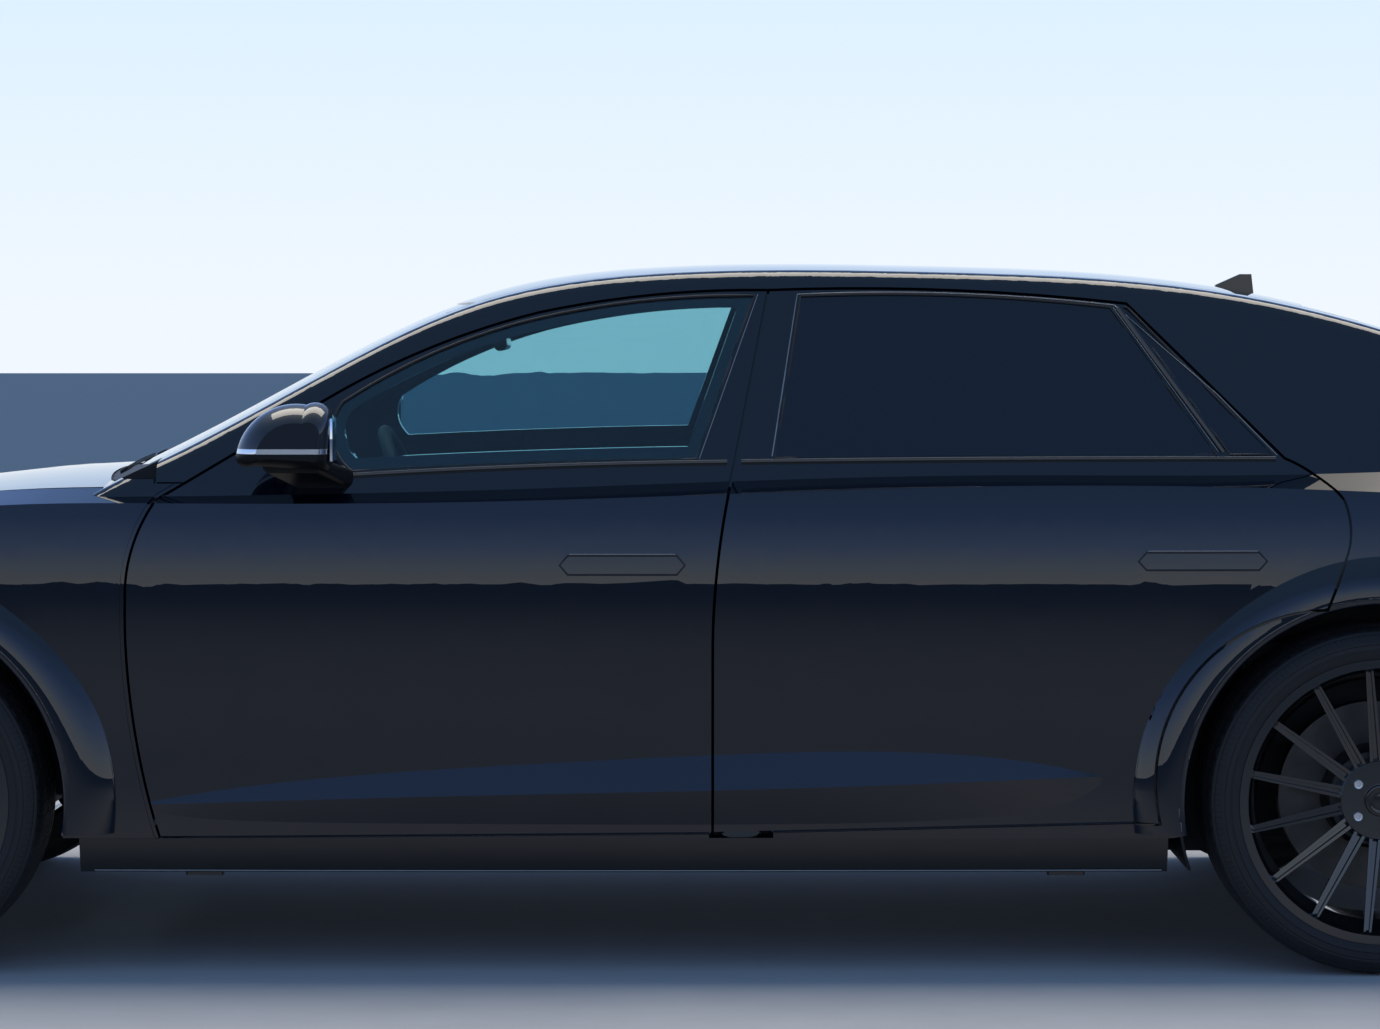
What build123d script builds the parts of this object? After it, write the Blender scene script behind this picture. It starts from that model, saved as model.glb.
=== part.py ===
from build123d import *
from math import asin, cos, radians, sin, sqrt
import os

# Full-size four-door sedan as separate pieces, all sizes in mm.
# +X points to the rear, +Y to the car's right, +Z up, and the wheels stand on Z = 0.

WHEELBASE = 3180.0
FRONT_OVERHANG = 875.0
REAR_OVERHANG = 1220.0
WIDTH = 1930.0
HEIGHT = 1500.0
BELT_HEIGHT = 1083.0
FRONT_DOOR_LENGTH = 1229.0
GROUND_CLEARANCE = 215.0
SHUT_GAP = 6.0
SKIN = 8.0
WALL = 50.0
GLASS = 5.0
GLASS_STEP = 8.0
GLASS_LAP = 26.0
DOOR_FLANGE = 10.0
DOOR_STEP = 35.0
CORE_GAP = 15.0
DOOR_INNER_Y = 835.0
TYRE_RADIUS = 368.0
TYRE_WIDTH = 265.0
RIM_RADIUS = 300.0
RIM_WIDTH = 250.0
SPOKE_COUNT = 15
DISC_RADIUS = 200.0
DISC_THICKNESS = 36.0
ARCH_GAP = 47.0
WHEEL_INSET = 17.0
KINGPIN_INSET = 80.0
SEAT_GAP = 0.3
TYRE_FIT = 0.8
HINGE_BACK = 60.0
HINGE_IN = 24.0
HINGE_TALL = 44.0
EYE_RADIUS = 9.0
ARM_REACH = 92.0
ARM_THICK = 7.0
ARM_ANGLE = 117.5
RUNNING_GAP = 5.0
SEAT_WIDTH = 540.0

LENGTH = FRONT_OVERHANG + WHEELBASE + REAR_OVERHANG
NOSE = -LENGTH / 2
TAIL = LENGTH / 2
FRONT_AXLE = NOSE + FRONT_OVERHANG
REAR_AXLE = TAIL - REAR_OVERHANG
A_LINE = FRONT_AXLE + 546.5
B_LINE = A_LINE + FRONT_DOOR_LENGTH
HALF = WIDTH / 2
ARCH_RADIUS = TYRE_RADIUS + ARCH_GAP
WHEEL_Y = HALF - WHEEL_INSET - TYRE_WIDTH / 2

# Drawing stations and where they lie on this car.
DRAWN = (-2637.5, -1762.5, -1216.0, 13.0, 1417.5, 2637.5)
BUILT = (NOSE, FRONT_AXLE, A_LINE, B_LINE, REAR_AXLE, TAIL)


def at(x):
    """Station on this car of an X read off the drawing."""
    i = 0
    while i < len(DRAWN) - 2 and x > DRAWN[i + 1]:
        i += 1
    share = (x - DRAWN[i]) / (DRAWN[i + 1] - DRAWN[i])
    return BUILT[i] + share * (BUILT[i + 1] - BUILT[i])


def up(z):
    """Height on this car of a Z read off the drawing: the greenhouse takes up the change."""
    if z <= 1083.0:
        return z * BELT_HEIGHT / 1083.0
    return BELT_HEIGHT + (z - 1083.0) * (HEIGHT - BELT_HEIGHT) / 417.0


def wd(y):
    """Half width on this car of a Y read off the drawing."""
    return y * HALF / 965.0


def box(x0, x1, y0, y1, z0, z1):
    """Box between two corners."""
    centre = Pos((x0 + x1) / 2, (y0 + y1) / 2, (z0 + z1) / 2)
    return centre * Box(abs(x1 - x0), abs(y1 - y0), abs(z1 - z0))


def outline(start, rows, place):
    """Face from rows of (x, z) for a line and (x_mid, z_mid, x, z) for an arc."""
    edges = []
    here = place(*start)
    for row in rows:
        there = place(row[-2], row[-1])
        if len(row) == 2:
            edges.append(Line(here, there))
        else:
            edges.append(ThreePointArc(here, place(row[0], row[1]), there))
        here = there
    first = place(*start)
    if (here - first).length > 0.01:
        edges.append(Line(here, first))
    return Face(Wire(edges))


def side_view(x, z):
    """Point of the drawing's side view."""
    return Vector(at(x), 0, up(z))


def plan_view(x, y):
    """Point of the drawing's plan view."""
    return Vector(at(x), wd(y), 0)


def side_prism(face, y0, y1):
    """Side-view face as a solid between two Y planes, y0 the lower."""
    solid = extrude(face, amount=y1 - y0, dir=(0, 1, 0))
    return Pos(0, y0, 0) * solid


def plan_prism(face, z0, z1):
    """Plan-view face as a solid between two Z planes."""
    return Pos(0, 0, z0) * extrude(face, amount=z1 - z0, dir=(0, 0, 1))


def grown(face, amount):
    """Face with its outline moved outward, or inward if amount is negative."""
    return offset(face, amount, kind=Kind.ARC if amount > 0 else Kind.INTERSECTION)


def both(shape):
    """Left-hand shape with its mirror image."""
    return Compound(children=list(shape.solids()) + list(mirrored(shape).solids()))


def mirrored(shape):
    """Right-hand twin of a left-hand shape."""
    return mirror(shape, about=Plane.XZ)


def turned(face_points, x, z):
    """Ring about the wheel axis at (x, z) from profile points (radius, y)."""
    points = [Vector(x + r, y, z) for r, y in face_points]
    face = Face(Wire.make_polygon(points, close=True))
    return revolve(face, Axis((x, 0, z), (0, 1, 0)), 360)


# Plan outlines of the lower body: height, half width, nose set back, tail set back.
SIDE_ARC = 60000.0
PLANS = (
    (GROUND_CLEARANCE, 897, 60, 70),
    (330, 922, 28, 35),
    (480, 927, 6, 8),
    (640, 940, 0, 0),
    (830, 950, 10, 18),
    (1000, 924, 70, 45),
    (1170, 850, 190, 90),
)


def end_of_plan(x_mid, y_mid, axle, tip, turn, reach, heading, way):
    """Named points of one end of a plan outline: side arc, taper, corner, tip."""
    a1 = asin(abs(axle - x_mid) / SIDE_ARC)
    y1 = y_mid - SIDE_ARC * (1 - cos(a1))
    a2 = asin(sin(a1) + reach / turn)
    x2 = axle + way * reach
    y2 = y1 - turn * (cos(a1) - cos(a2))
    h = radians(heading)
    k = (1 - sin(h)) / cos(h)
    corner = (abs(tip - x2) - k * y2) / ((sin(h) - sin(a2)) - k * (cos(a2) - cos(h)))

    def along(x, y, radius, a, b):
        return (x + way * radius * (sin(b) - sin(a)), y - radius * (cos(a) - cos(b)))

    return {
        "side": (axle, y1),
        "taper_mid": along(axle, y1, turn, a1, (a1 + a2) / 2),
        "taper": (x2, y2),
        "corner_mid": along(x2, y2, corner, a2, (a2 + h) / 2),
        "corner": along(x2, y2, corner, a2, h),
        "tip": (tip, 0.0),
    }


def plan_section(z, y_mid, nose, tail):
    """Closed plan outline of tangent arcs at height z."""
    x_mid = (FRONT_AXLE + REAR_AXLE) / 2
    front = end_of_plan(x_mid, y_mid, FRONT_AXLE, nose, 4200, 0.48 * FRONT_OVERHANG, 66, -1)
    rear = end_of_plan(x_mid, y_mid, REAR_AXLE, tail, 5200, 0.57 * REAR_OVERHANG, 70, 1)
    names = ("side", "taper_mid", "taper", "corner_mid", "corner")
    path = [(x_mid, y_mid)] + [rear[n] for n in names] + [rear["tip"]]
    path += [(rear[n][0], -rear[n][1]) for n in reversed(names)] + [(x_mid, -y_mid)]
    path += [(front[n][0], -front[n][1]) for n in names] + [front["tip"]]
    path += [front[n] for n in reversed(names)]
    path = path[1:] + path[:1]
    points = [Vector(x, y, z) for x, y in path]
    points.append(points[0])
    edges = [ThreePointArc(*points[i:i + 3]) for i in range(0, len(points) - 2, 2)]
    return Face(Wire(edges))


def side_y(x, z):
    """Half width of the lower body at a station and height of the drawing."""
    i = 0
    while i < len(PLANS) - 2 and z > PLANS[i + 1][0]:
        i += 1
    low, high = PLANS[i], PLANS[i + 1]
    y = low[1] + (high[1] - low[1]) * (z - low[0]) / (high[0] - low[0])
    return wd(y) - (at(x) - (FRONT_AXLE + REAR_AXLE) / 2) ** 2 / (2 * SIDE_ARC)


def wall_form(inset):
    """Lower body between its curved side walls, drawn in by inset."""
    faces = []
    for z, y, nose_back, tail_back in PLANS:
        faces.append(plan_section(up(z), wd(y) - inset, NOSE + nose_back + inset, TAIL - tail_back - inset))
    return loft(faces)


# Upper surface of the lower body: station, crease y and z, hood or deck edge y and z, centre z.
TOPS = (
    (-2665, 760, 640, 600, 668, 690),
    (-2540, 830, 745, 660, 790, 812),
    (-2300, 890, 868, 705, 893, 912),
    (-1850, 922, 955, 750, 975, 992),
    (-1480, 922, 988, 775, 1016, 1032),
    (-1100, 922, 993, 800, 1024, 1040),
    (-437, 922, 999, 820, 1032, 1045),
    (616, 922, 1026, 820, 1057, 1070),
    (1124, 922, 1020, 815, 1056, 1075),
    (1700, 900, 1000, 770, 1080, 1108),
    (2200, 860, 1010, 730, 1092, 1120),
    (2665, 790, 1015, 700, 1070, 1096),
)


def top_form(inset):
    """Everything under the hood, shoulder and deck surfaces, drawn down by inset."""
    faces = []
    for x, crease_y, crease_z, edge_y, edge_z, centre_z in TOPS:
        slope = (up(edge_z) - up(crease_z)) / (wd(crease_y) - wd(edge_y))
        y_far = wd(1010)
        z_far = up(crease_z) - slope * (y_far - wd(crease_y)) - inset
        corner = (wd(edge_y), up(edge_z) - inset)
        points = [Vector(at(x), y, z) for y, z in ((y_far, 100), (y_far, z_far), corner)]
        left = [Vector(p.X, -p.Y, p.Z) for p in reversed(points)]
        middle = Vector(at(x), 0, up(centre_z) - inset)
        edges = [Line(points[0], points[1]), Line(points[1], points[2])]
        edges += [ThreePointArc(points[2], middle, left[0]), Line(left[0], left[1])]
        edges += [Line(left[1], left[2]), Line(left[2], points[0])]
        faces.append(Face(Wire(edges)))
    return loft(faces)


# Greenhouse: station, centre height, rail height, half width at the belt.
CABIN = (
    (-1345, 1014, 975, 822),
    (-1160, 1115, 1075, 838),
    (-827, 1293, 1252, 850),
    (-474, 1444, 1415, 855),
    (-106, 1497, 1474, 856),
    (484, 1500, 1478, 856),
    (1133, 1457, 1430, 845),
    (1563, 1352, 1318, 815),
    (1850, 1237, 1205, 782),
    (2150, 1096, 1066, 740),
)
TUMBLEHOME = 0.53
RAIL_RADIUS = 45.0


def cabin_form(inset):
    """Greenhouse drawn in by inset: leaning sides, rounded rails, crowned roof."""
    faces = []
    for x, centre_z, rail_z, belt_y in CABIN:
        y_belt = wd(belt_y) - inset
        z_rail = up(rail_z) - inset
        y_rail = y_belt - (z_rail - BELT_HEIGHT) * TUMBLEHOME
        z_foot = up(880)
        y_foot = y_belt + (BELT_HEIGHT - z_foot) * 0.28
        bulge = ((y_foot + y_rail) / 2 + 8, (z_foot + z_rail) / 2)
        right = [Vector(at(x), y, z) for y, z in ((y_foot, z_foot), bulge, (y_rail, z_rail))]
        left = [Vector(p.X, -p.Y, p.Z) for p in right]
        top = Vector(at(x), 0, up(centre_z) - inset)
        edges = [Line(left[0], right[0]), ThreePointArc(*right), ThreePointArc(right[2], top, left[2])]
        edges.append(ThreePointArc(*reversed(left)))
        face = Face(Wire(edges))
        rails = [v for v in face.vertices() if abs(v.Z - z_rail) < 0.01]
        faces.append(face.fillet_2d(min(RAIL_RADIUS, (z_rail - z_foot) * 0.3), rails))
    return loft(faces)


# Wheel arch flare in section: radius over the arch opening, stand out from the half width.
FLARE = ((-4, -75), ((-1, -17), (4, -8, 16, -5), (62, -13, 106, -46), (106, -75)))


def flares():
    """Rolled lips round the left arches, above the sills."""
    parts = []
    for axle in (FRONT_AXLE, REAR_AXLE):
        def section(r, y, axle=axle):
            return Vector(axle + ARCH_RADIUS + r, -(HALF + y), TYRE_RADIUS)

        ring = revolve(outline(FLARE[0], FLARE[1], section), Axis((axle, 0, TYRE_RADIUS), (0, 1, 0)), 360)
        keep = box(axle - 700, axle + 700, -1200, 0, up(300), up(960))
        parts.append(ring & keep)
    return parts


FORMS = {}


def body_form(inset):
    """Whole body outside, drawn in by inset."""
    if inset not in FORMS:
        FORMS[inset] = (wall_form(inset) & top_form(inset)) + cabin_form(inset)
    return FORMS[inset]


# Side-view outlines of the left doors, in the drawing's X and Z.
FRONT_DOOR = ((-1150, 290), (
    (-1206, 560, -1216, 790),
    (-1203, 895, -1152, 1003),
    (-1104, 1031),
    (-812, 1206),
    (-515, 1346, -354, 1394),
    (-101, 1432, 134, 1441),
    (60, 1076),
    (28, 905, 13, 700),
    (13, 300),
))
REAR_DOOR = ((13, 300), (
    (13, 700),
    (28, 905, 60, 1076),
    (134, 1441),
    (520, 1441, 902, 1412),
    (1224, 1085),
    (1299, 1040, 1337, 1001),
    (1349, 950, 1335, 870),
    (1296, 773),
    (1060, 680, 950, 323),
))
FRONT_GLASS = ((-748, 1058), (
    (-790, 1120, -772, 1203),
    (-515, 1334, -393, 1373),
    (-140, 1418, 104, 1429),
    (-21, 1083),
    (-393, 1074, -748, 1058),
))
REAR_GLASS = ((145, 1085), (
    (203, 1428),
    (520, 1430, 868, 1404),
    (1080, 1092),
    (600, 1091, 145, 1085),
))
QUARTER_GLASS = ((1108, 1092), (
    (893, 1405),
    (905, 1402),
    (1200, 1092),
))


def round_wheel(axle, radius):
    """Cylinder across the car about a wheel axis."""
    return Pos(axle, 0, TYRE_RADIUS) * (Rot(90, 0, 0) * Cylinder(radius, 3000))


def left_form(inset):
    """Left half of the body outside, drawn in by inset."""
    key = ("left", inset)
    if key not in FORMS:
        FORMS[key] = body_form(inset) & box(-5000, 5000, -2000, 0, 0, 3000)
    return FORMS[key]


def left_outer():
    """Left half of the body outside with its arch flares."""
    if "left outer" not in FORMS:
        shape = left_form(0)
        for flare in flares():
            shape = shape + flare
        FORMS["left outer"] = shape
    return FORMS["left outer"]


def shell_of(face, outer, inset):
    """Wall of the outside between its surface and inset, inside a side-view outline."""
    prism = side_prism(face, -1200, -300)
    return (outer & prism) - left_form(inset)


# Ledge low on the doors: station, height of its top, height of its edge, stand out.
FACET = (
    (-1190, 366, 360, 1),
    (-900, 410, 370, 12),
    (-320, 452, 386, 21),
    (317, 476, 402, 23),
    (600, 463, 412, 15),
    (830, 422, 420, 1),
)


def door_ledge():
    """Long wedge that catches the light, standing out of the lower left doors."""
    sections = []
    for x, top, edge, stand in FACET:
        rows = ((side_y(x, top) - 1, top), (side_y(x, edge) + stand, edge), (side_y(x, 300) - 1, 300))
        rows += ((side_y(x, edge) - SKIN, edge),)
        sections.append(Face(Wire.make_polygon([Vector(at(x), -y, up(z)) for y, z in rows], close=True)))
    return loft(sections)


HINGE_LEVELS = (645.0, 880.0)


def hinge_axis(line):
    """Place of the left door's vertical hinge axis behind a shut line."""
    drop = (line - (FRONT_AXLE + REAR_AXLE) / 2) ** 2 / (2 * SIDE_ARC)
    return line + HINGE_BACK, HINGE_IN + drop - wd(950)


def hinge_arms(axis):
    """Arms from the pillar to the eyes on a hinge axis."""
    arms = []
    for z in HINGE_LEVELS:
        arm = Rot(0, 0, ARM_ANGLE) * (Pos(ARM_REACH / 2, 0, 0) * Box(ARM_REACH, ARM_THICK, HINGE_TALL))
        arms.append(Pos(axis[0], axis[1], up(z)) * (Cylinder(EYE_RADIUS, HINGE_TALL) + arm))
    return arms


def hinge_pockets(axis):
    """Room that the door leaves round its hinge eyes and in front of them."""
    pockets = []
    eye = EYE_RADIUS + SEAT_GAP
    tall = HINGE_TALL + 2 * SEAT_GAP
    for z in HINGE_LEVELS:
        slot = box(-100, 0, -eye, 130, -tall / 2, tall / 2)
        pockets.append(Pos(axis[0], axis[1], up(z)) * (Cylinder(eye, tall) + slot))
    return pockets


def build_door(rows, panes, line, ledge):
    """One left door, its glass, and the two solids that its opening takes out of the body."""
    face = outline(rows[0], rows[1], side_view)
    panel = side_prism(grown(face, -SHUT_GAP / 2), -1200, -300)
    core = left_form(DOOR_FLANGE) & side_prism(grown(face, -SHUT_GAP / 2 - DOOR_STEP), -1200, -300)
    door = ((left_outer() & panel) - left_form(DOOR_FLANGE)) + (core - cabin_void())
    door += ledge & panel
    door -= round_wheel(REAR_AXLE, ARCH_RADIUS)
    for pocket in hinge_pockets(hinge_axis(line)):
        door -= pocket
    glass = []
    for pane in panes:
        pane_face = outline(pane[0], pane[1], side_view)
        door -= side_prism(pane_face, -1200, -300) - left_form(GLASS_STEP)
        door -= side_prism(grown(pane_face, -GLASS_LAP), -1200, -300)
        sheet = shell_of(grown(pane_face, -SEAT_GAP), left_form(GLASS_STEP - GLASS), GLASS_STEP)
        glass += (Pos(0, -SEAT_GAP, 0) * sheet).solids()
    hole = side_prism(grown(face, SHUT_GAP / 2), -1200, -300) - left_form(DOOR_FLANGE + RUNNING_GAP)
    deep = side_prism(grown(face, CORE_GAP - SHUT_GAP / 2 - DOOR_STEP), -1200, -300)
    return door, Compound(children=glass), [hole, deep]


def cabin_void():
    """Space inside the cabin walls."""
    if "void" not in FORMS:
        y = wd(DOOR_INNER_Y)
        top = cabin_form(WALL) & box(-5000, 5000, -2000, 2000, up(1000), 3000)
        FORMS["void"] = top + box(at(-1190), at(1400), -y, y, GROUND_CLEARANCE - 20, up(1000))
    return FORMS["void"]



# Plan-view outlines, in the drawing's X and Y.
HOOD = ((-2425, -640), (
    (-2562, 0, -2425, 640),
    (-1480, 776),
    (-1252, 795),
    (-1334, 0, -1252, -795),
    (-1480, -776),
))
WINDSCREEN = ((-1190, -742), (
    (-1290, 0, -1190, 742),
    (-500, 575),
    (-570, 0, -500, -575),
))
ROOF = ((-640, -590), (
    (-640, 590),
    (0, 618),
    (700, 612),
    (1440, 560),
    (1440, -560),
    (700, -612),
    (0, -618),
))
REAR_WINDOW = ((1300, -545), (
    (1340, 0, 1300, 545),
    (2030, 628),
    (2062, 0, 2030, -628),
))
BOOT_LID = ((2085, -640), (
    (2108, 0, 2085, 640),
    (2700, 640),
    (2700, -640),
))
LID_FOOT = up(720)
# Side-view outlines of the outer panels.
FENDER = ((-1080, 285.3), (
    (-1420, 285.3),
    (-1762, 368),
    (-2135, 600),
    (-2290, 640),
    (-2330, 720),
    (-2330, 1200),
    (-1090, 1200),
    (-1090, 1040),
))
QUARTER = ((-1104, 288), (
    (-1104, 1036),
    (-1160, 1036),
    (-1160, 1700),
    (2700, 1700),
    (2700, 860),
    (2330, 760),
    (1960, 700),
    (1880, 620),
    (1417, 368),
    (980, 288),
))
# Front-view outlines, in half width and height.
HEADLAMP = ((545, 640), ((560, 735), (760, 775), (905, 770), (905, 700), (760, 655)))
GRILLE = ((0, 420), ((400, 430), (430, 500), (400, 690), (0, 715)))
TAIL_LAMP = ((652, 850), ((652, 955), (965, 975), (965, 880)))


def end_view(x):
    """Point maker for front-view outlines at station x."""
    return lambda y, z: Vector(x, -wd(y), up(z))


def end_prism(rows, x0, x1):
    """Left front-view outline as a solid between two X planes."""
    return extrude(outline(rows[0], rows[1], end_view(x0)), amount=x1 - x0, dir=(1, 0, 0))


def plan_region(rows, amount=0.0, z0=0.0, z1=3000.0):
    """Plan outline, moved outward by amount, as a tall solid."""
    face = outline(rows[0], rows[1], plan_view)
    return plan_prism(grown(face, amount) if amount else face, z0, z1)


def side_region(rows, amount=0.0, y0=-1200.0, y1=1200.0):
    """Side-view outline, moved outward by amount, as a wide solid."""
    face = outline(rows[0], rows[1], side_view)
    return side_prism(grown(face, amount) if amount else face, y0, y1)


def wall_piece(region, thickness):
    """Wall of the body outside within a region."""
    return (body_form(0) & region) - body_form(thickness)


def rebate(rows, z0, share, back):
    """Ledge under the edge of the hood or boot lid, cut to the share of one neighbour."""
    ring = plan_region(rows, SHUT_GAP / 2, z0) - plan_region(rows, -DOOR_STEP, z0)
    ledge = (body_form(SKIN) & ring & share) - body_form(DOOR_FLANGE + RUNNING_GAP)
    return Pos(back, 0, -SEAT_GAP) * ledge


def build_hood():
    """Hood skin."""
    return wall_piece(plan_region(HOOD, -SHUT_GAP / 2, up(600)), SKIN)


def build_boot_lid():
    """Boot lid: deck and upper rear face in one skin."""
    return wall_piece(plan_region(BOOT_LID, -SHUT_GAP / 2, LID_FOOT), SKIN)


def build_fender(door_hole):
    """Left front fender, thinned where the door's leading edge swings behind it."""
    region = side_region(FENDER, -SHUT_GAP / 2, -1200, -300)
    panel = (left_outer() & region) - left_form(SKIN)
    panel -= plan_region(HOOD, SHUT_GAP / 2, up(600))
    panel -= round_wheel(FRONT_AXLE, ARCH_RADIUS)
    panel -= end_prism(HEADLAMP, NOSE - 100, at(-2190))
    panel -= box(at(-1348), at(-1000), -wd(788) - SHUT_GAP / 2, 0, up(900), 3000)
    panel -= box(at(-1165), at(-1000), -1200, 0, up(1033), 3000)
    panel -= box(at(-1254), at(-1000), -1200, 0, up(1042), 3000)
    swing = side_region(FRONT_DOOR, SHUT_GAP / 2 + SKIN, -1200, -300) - left_form(GLASS_STEP - GLASS)
    panel -= swing
    panel += rebate(HOOD, up(600), box(at(-2325), at(-1352), -1200, -wd(600), 0, 3000), SEAT_GAP)
    return panel - door_hole


def hinge_pillar():
    """Front pillar below the windscreen, behind the fender, that carries the front door."""
    post = box(A_LINE - 70, at(-1104), -1200, -wd(DOOR_INNER_Y), up(288.6), up(1036))
    return left_form(DOOR_FLANGE + RUNNING_GAP) & post


def build_side_frame(holes):
    """Left body side: pillars, cant rail, inner sill and rear quarter as one pressing."""
    frame = left_outer() & side_region(QUARTER, 0, -1200, 0)
    boot_space = (wall_form(SKIN) & top_form(SKIN)) & box(at(1398), TAIL, -1200, 1200, 0, 3000)
    frame -= cabin_void()
    frame -= boot_space
    frame += hinge_pillar()
    for hole in holes:
        frame -= hole
    frame -= plan_region(ROOF, SHUT_GAP / 2, up(1100))
    frame -= plan_region(WINDSCREEN, -GLASS_LAP, up(900))
    frame -= plan_region(WINDSCREEN, 0, up(900)) - body_form(GLASS_STEP)
    frame -= plan_region(REAR_WINDOW, -GLASS_LAP, up(900))
    frame -= plan_region(REAR_WINDOW, 0, up(900)) - body_form(GLASS_STEP)
    frame -= plan_region(BOOT_LID, SHUT_GAP / 2, up(700))
    frame -= end_prism(TAIL_LAMP, at(2300), TAIL + 50)
    frame -= round_wheel(REAR_AXLE, ARCH_RADIUS)
    frame += rebate(BOOT_LID, up(880), box(at(2060), TAIL, -1200, 0, 0, 3000), -2 * SEAT_GAP)
    for line in (A_LINE, B_LINE):
        x, y = hinge_axis(line)
        frame -= Pos(x, y, up(650)) * Cylinder(HINGE_BACK + SKIN, up(720))
        for arm in hinge_arms((x, y)):
            frame += arm
    return frame


def build_roof():
    """Roof panel with its front and rear headers."""
    panel = (body_form(0) & plan_region(ROOF, -SHUT_GAP / 2, up(1100))) - cabin_form(WALL)
    for rows in (WINDSCREEN, REAR_WINDOW):
        panel -= plan_region(rows, -GLASS_LAP, up(900))
        panel -= plan_region(rows, 0, up(900)) - body_form(GLASS_STEP)
    return panel


def build_screen(rows):
    """Windscreen or rear window sheet, lying on its step."""
    sheet = (body_form(GLASS_STEP - GLASS) & plan_region(rows, -SEAT_GAP, up(900))) - body_form(GLASS_STEP)
    return Pos(0, 0, SEAT_GAP) * sheet


def tyre_profile():
    """Half section of the tyre: radius, y from its middle plane."""
    half = TYRE_WIDTH / 2
    bead = RIM_RADIUS - 14 + TYRE_FIT
    lip = RIM_WIDTH / 2
    points = [(bead, lip - 16.5), (RIM_RADIUS + TYRE_FIT, lip - 10), (RIM_RADIUS + TYRE_FIT, lip - 1)]
    points += [(RIM_RADIUS + 14, half - 1), (RIM_RADIUS + 24, half)]
    points += [(TYRE_RADIUS - 22, half - 6), (TYRE_RADIUS - 9, half - 16), (TYRE_RADIUS - 2, half - 38)]
    points += [(TYRE_RADIUS, half - 75)]
    return points


def build_tyre():
    """Tyre at the origin, axis along Y."""
    right = tyre_profile()
    left = [(r, -y) for r, y in reversed(right)]
    return turned(right + left, 0, 0)


def build_rim():
    """Rim at the origin, outer face toward -Y, with a ring of thin channelled spokes."""
    half = RIM_WIDTH / 2
    bead = RIM_RADIUS - 14
    profile = [(bead - 14, half), (RIM_RADIUS, half), (RIM_RADIUS, half - 9), (bead, half - 16)]
    profile += [(bead, 16 - half), (RIM_RADIUS, 9 - half), (RIM_RADIUS, -half), (bead - 4, -half)]
    profile += [(bead - 12, 12 - half), (bead - 30, 60 - half), (bead - 26, half - 20)]
    barrel = turned(profile, 0, 0)
    face_y = -half + 30
    hub_rows = ((0, 0), (34, 0), (34, 6), (82, 6), (92, 16), (92, 46), (0, 46))
    hub = turned([(r, face_y + y) for r, y in hub_rows], 0, 0)
    solids = barrel + hub
    for index in range(SPOKE_COUNT):
        solids += Rot(0, index * 360 / SPOKE_COUNT, 0) * build_spoke(face_y, 4 - half)
    return solids


def build_spoke(hub_y, rim_y):
    """One spoke along +X: a blade that narrows and steps outward toward the rim."""
    sections = []
    for x, width, y, depth in ((80, 13, hub_y + 8, 34), (RIM_RADIUS - 24, 8, rim_y + 4, 26)):
        points = [Vector(x, y, width), Vector(x, y, width * 0.45), Vector(x, y + 6, width * 0.3)]
        points += [Vector(x, y + 6, -width * 0.3), Vector(x, y, -width * 0.45), Vector(x, y, -width)]
        points += [Vector(x, y + depth, -width * 0.7), Vector(x, y + depth, width * 0.7)]
        sections.append(Face(Wire.make_polygon(points, close=True)))
    return loft(sections, ruled=True)


def build_disc():
    """Brake disc with its bell, axis along Y, bell toward -Y."""
    t = DISC_THICKNESS / 2
    y = 26.0
    profile = [(120, y - t), (DISC_RADIUS, y - t), (DISC_RADIUS, y + t), (112, y + t), (100, y + t)]
    profile += [(92, -40), (0, -40), (0, -49), (100, -49), (108, -40), (112, y - t)]
    return turned(profile, 0, 0)


def build_front_bumper():
    """Front bumper skin from arch to arch, open at the grille and lamps."""
    skin = wall_piece(box(NOSE - 50, at(-2080), -1200, 1200, 0, up(1000)), SKIN)
    skin -= side_region(FENDER)
    skin -= plan_region(HOOD, SHUT_GAP / 2, up(600))
    for rows in (HEADLAMP, GRILLE):
        prism = end_prism(rows, NOSE - 100, at(-2190))
        skin -= prism
        skin -= mirrored(prism)
    skin -= round_wheel(FRONT_AXLE, ARCH_RADIUS)
    return skin + rebate(HOOD, up(600), box(NOSE, at(-2335), -1200, 1200, 0, 3000), 2 * SEAT_GAP)


def build_rear_bumper():
    """Rear bumper skin from arch to arch, under the lamps and boot lid."""
    skin = wall_piece(box(at(1700), TAIL + 50, -1200, 1200, 0, up(1000)), SKIN)
    skin -= side_region(QUARTER)
    skin -= plan_region(BOOT_LID, SHUT_GAP / 2, LID_FOOT - SHUT_GAP)
    skin -= round_wheel(REAR_AXLE, ARCH_RADIUS)
    return skin


def build_headlamps():
    """Pair of headlamp units."""
    prism = end_prism(HEADLAMP, NOSE - 100, at(-2190))
    lamp = (left_outer() & prism) - left_form(WALL)
    return both(lamp - plan_region(HOOD, SHUT_GAP / 2, up(600)))


def build_tail_lamps():
    """Pair of tail lamp units wrapping the rear corners."""
    return both((left_outer() & end_prism(TAIL_LAMP, at(2300), TAIL + 50)) - left_form(WALL))


GRILLE_BARS = 10
BAR_TALL = 7.0
GRILLE_RIM = 16.0
RIB_PITCH = 110.0


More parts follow.
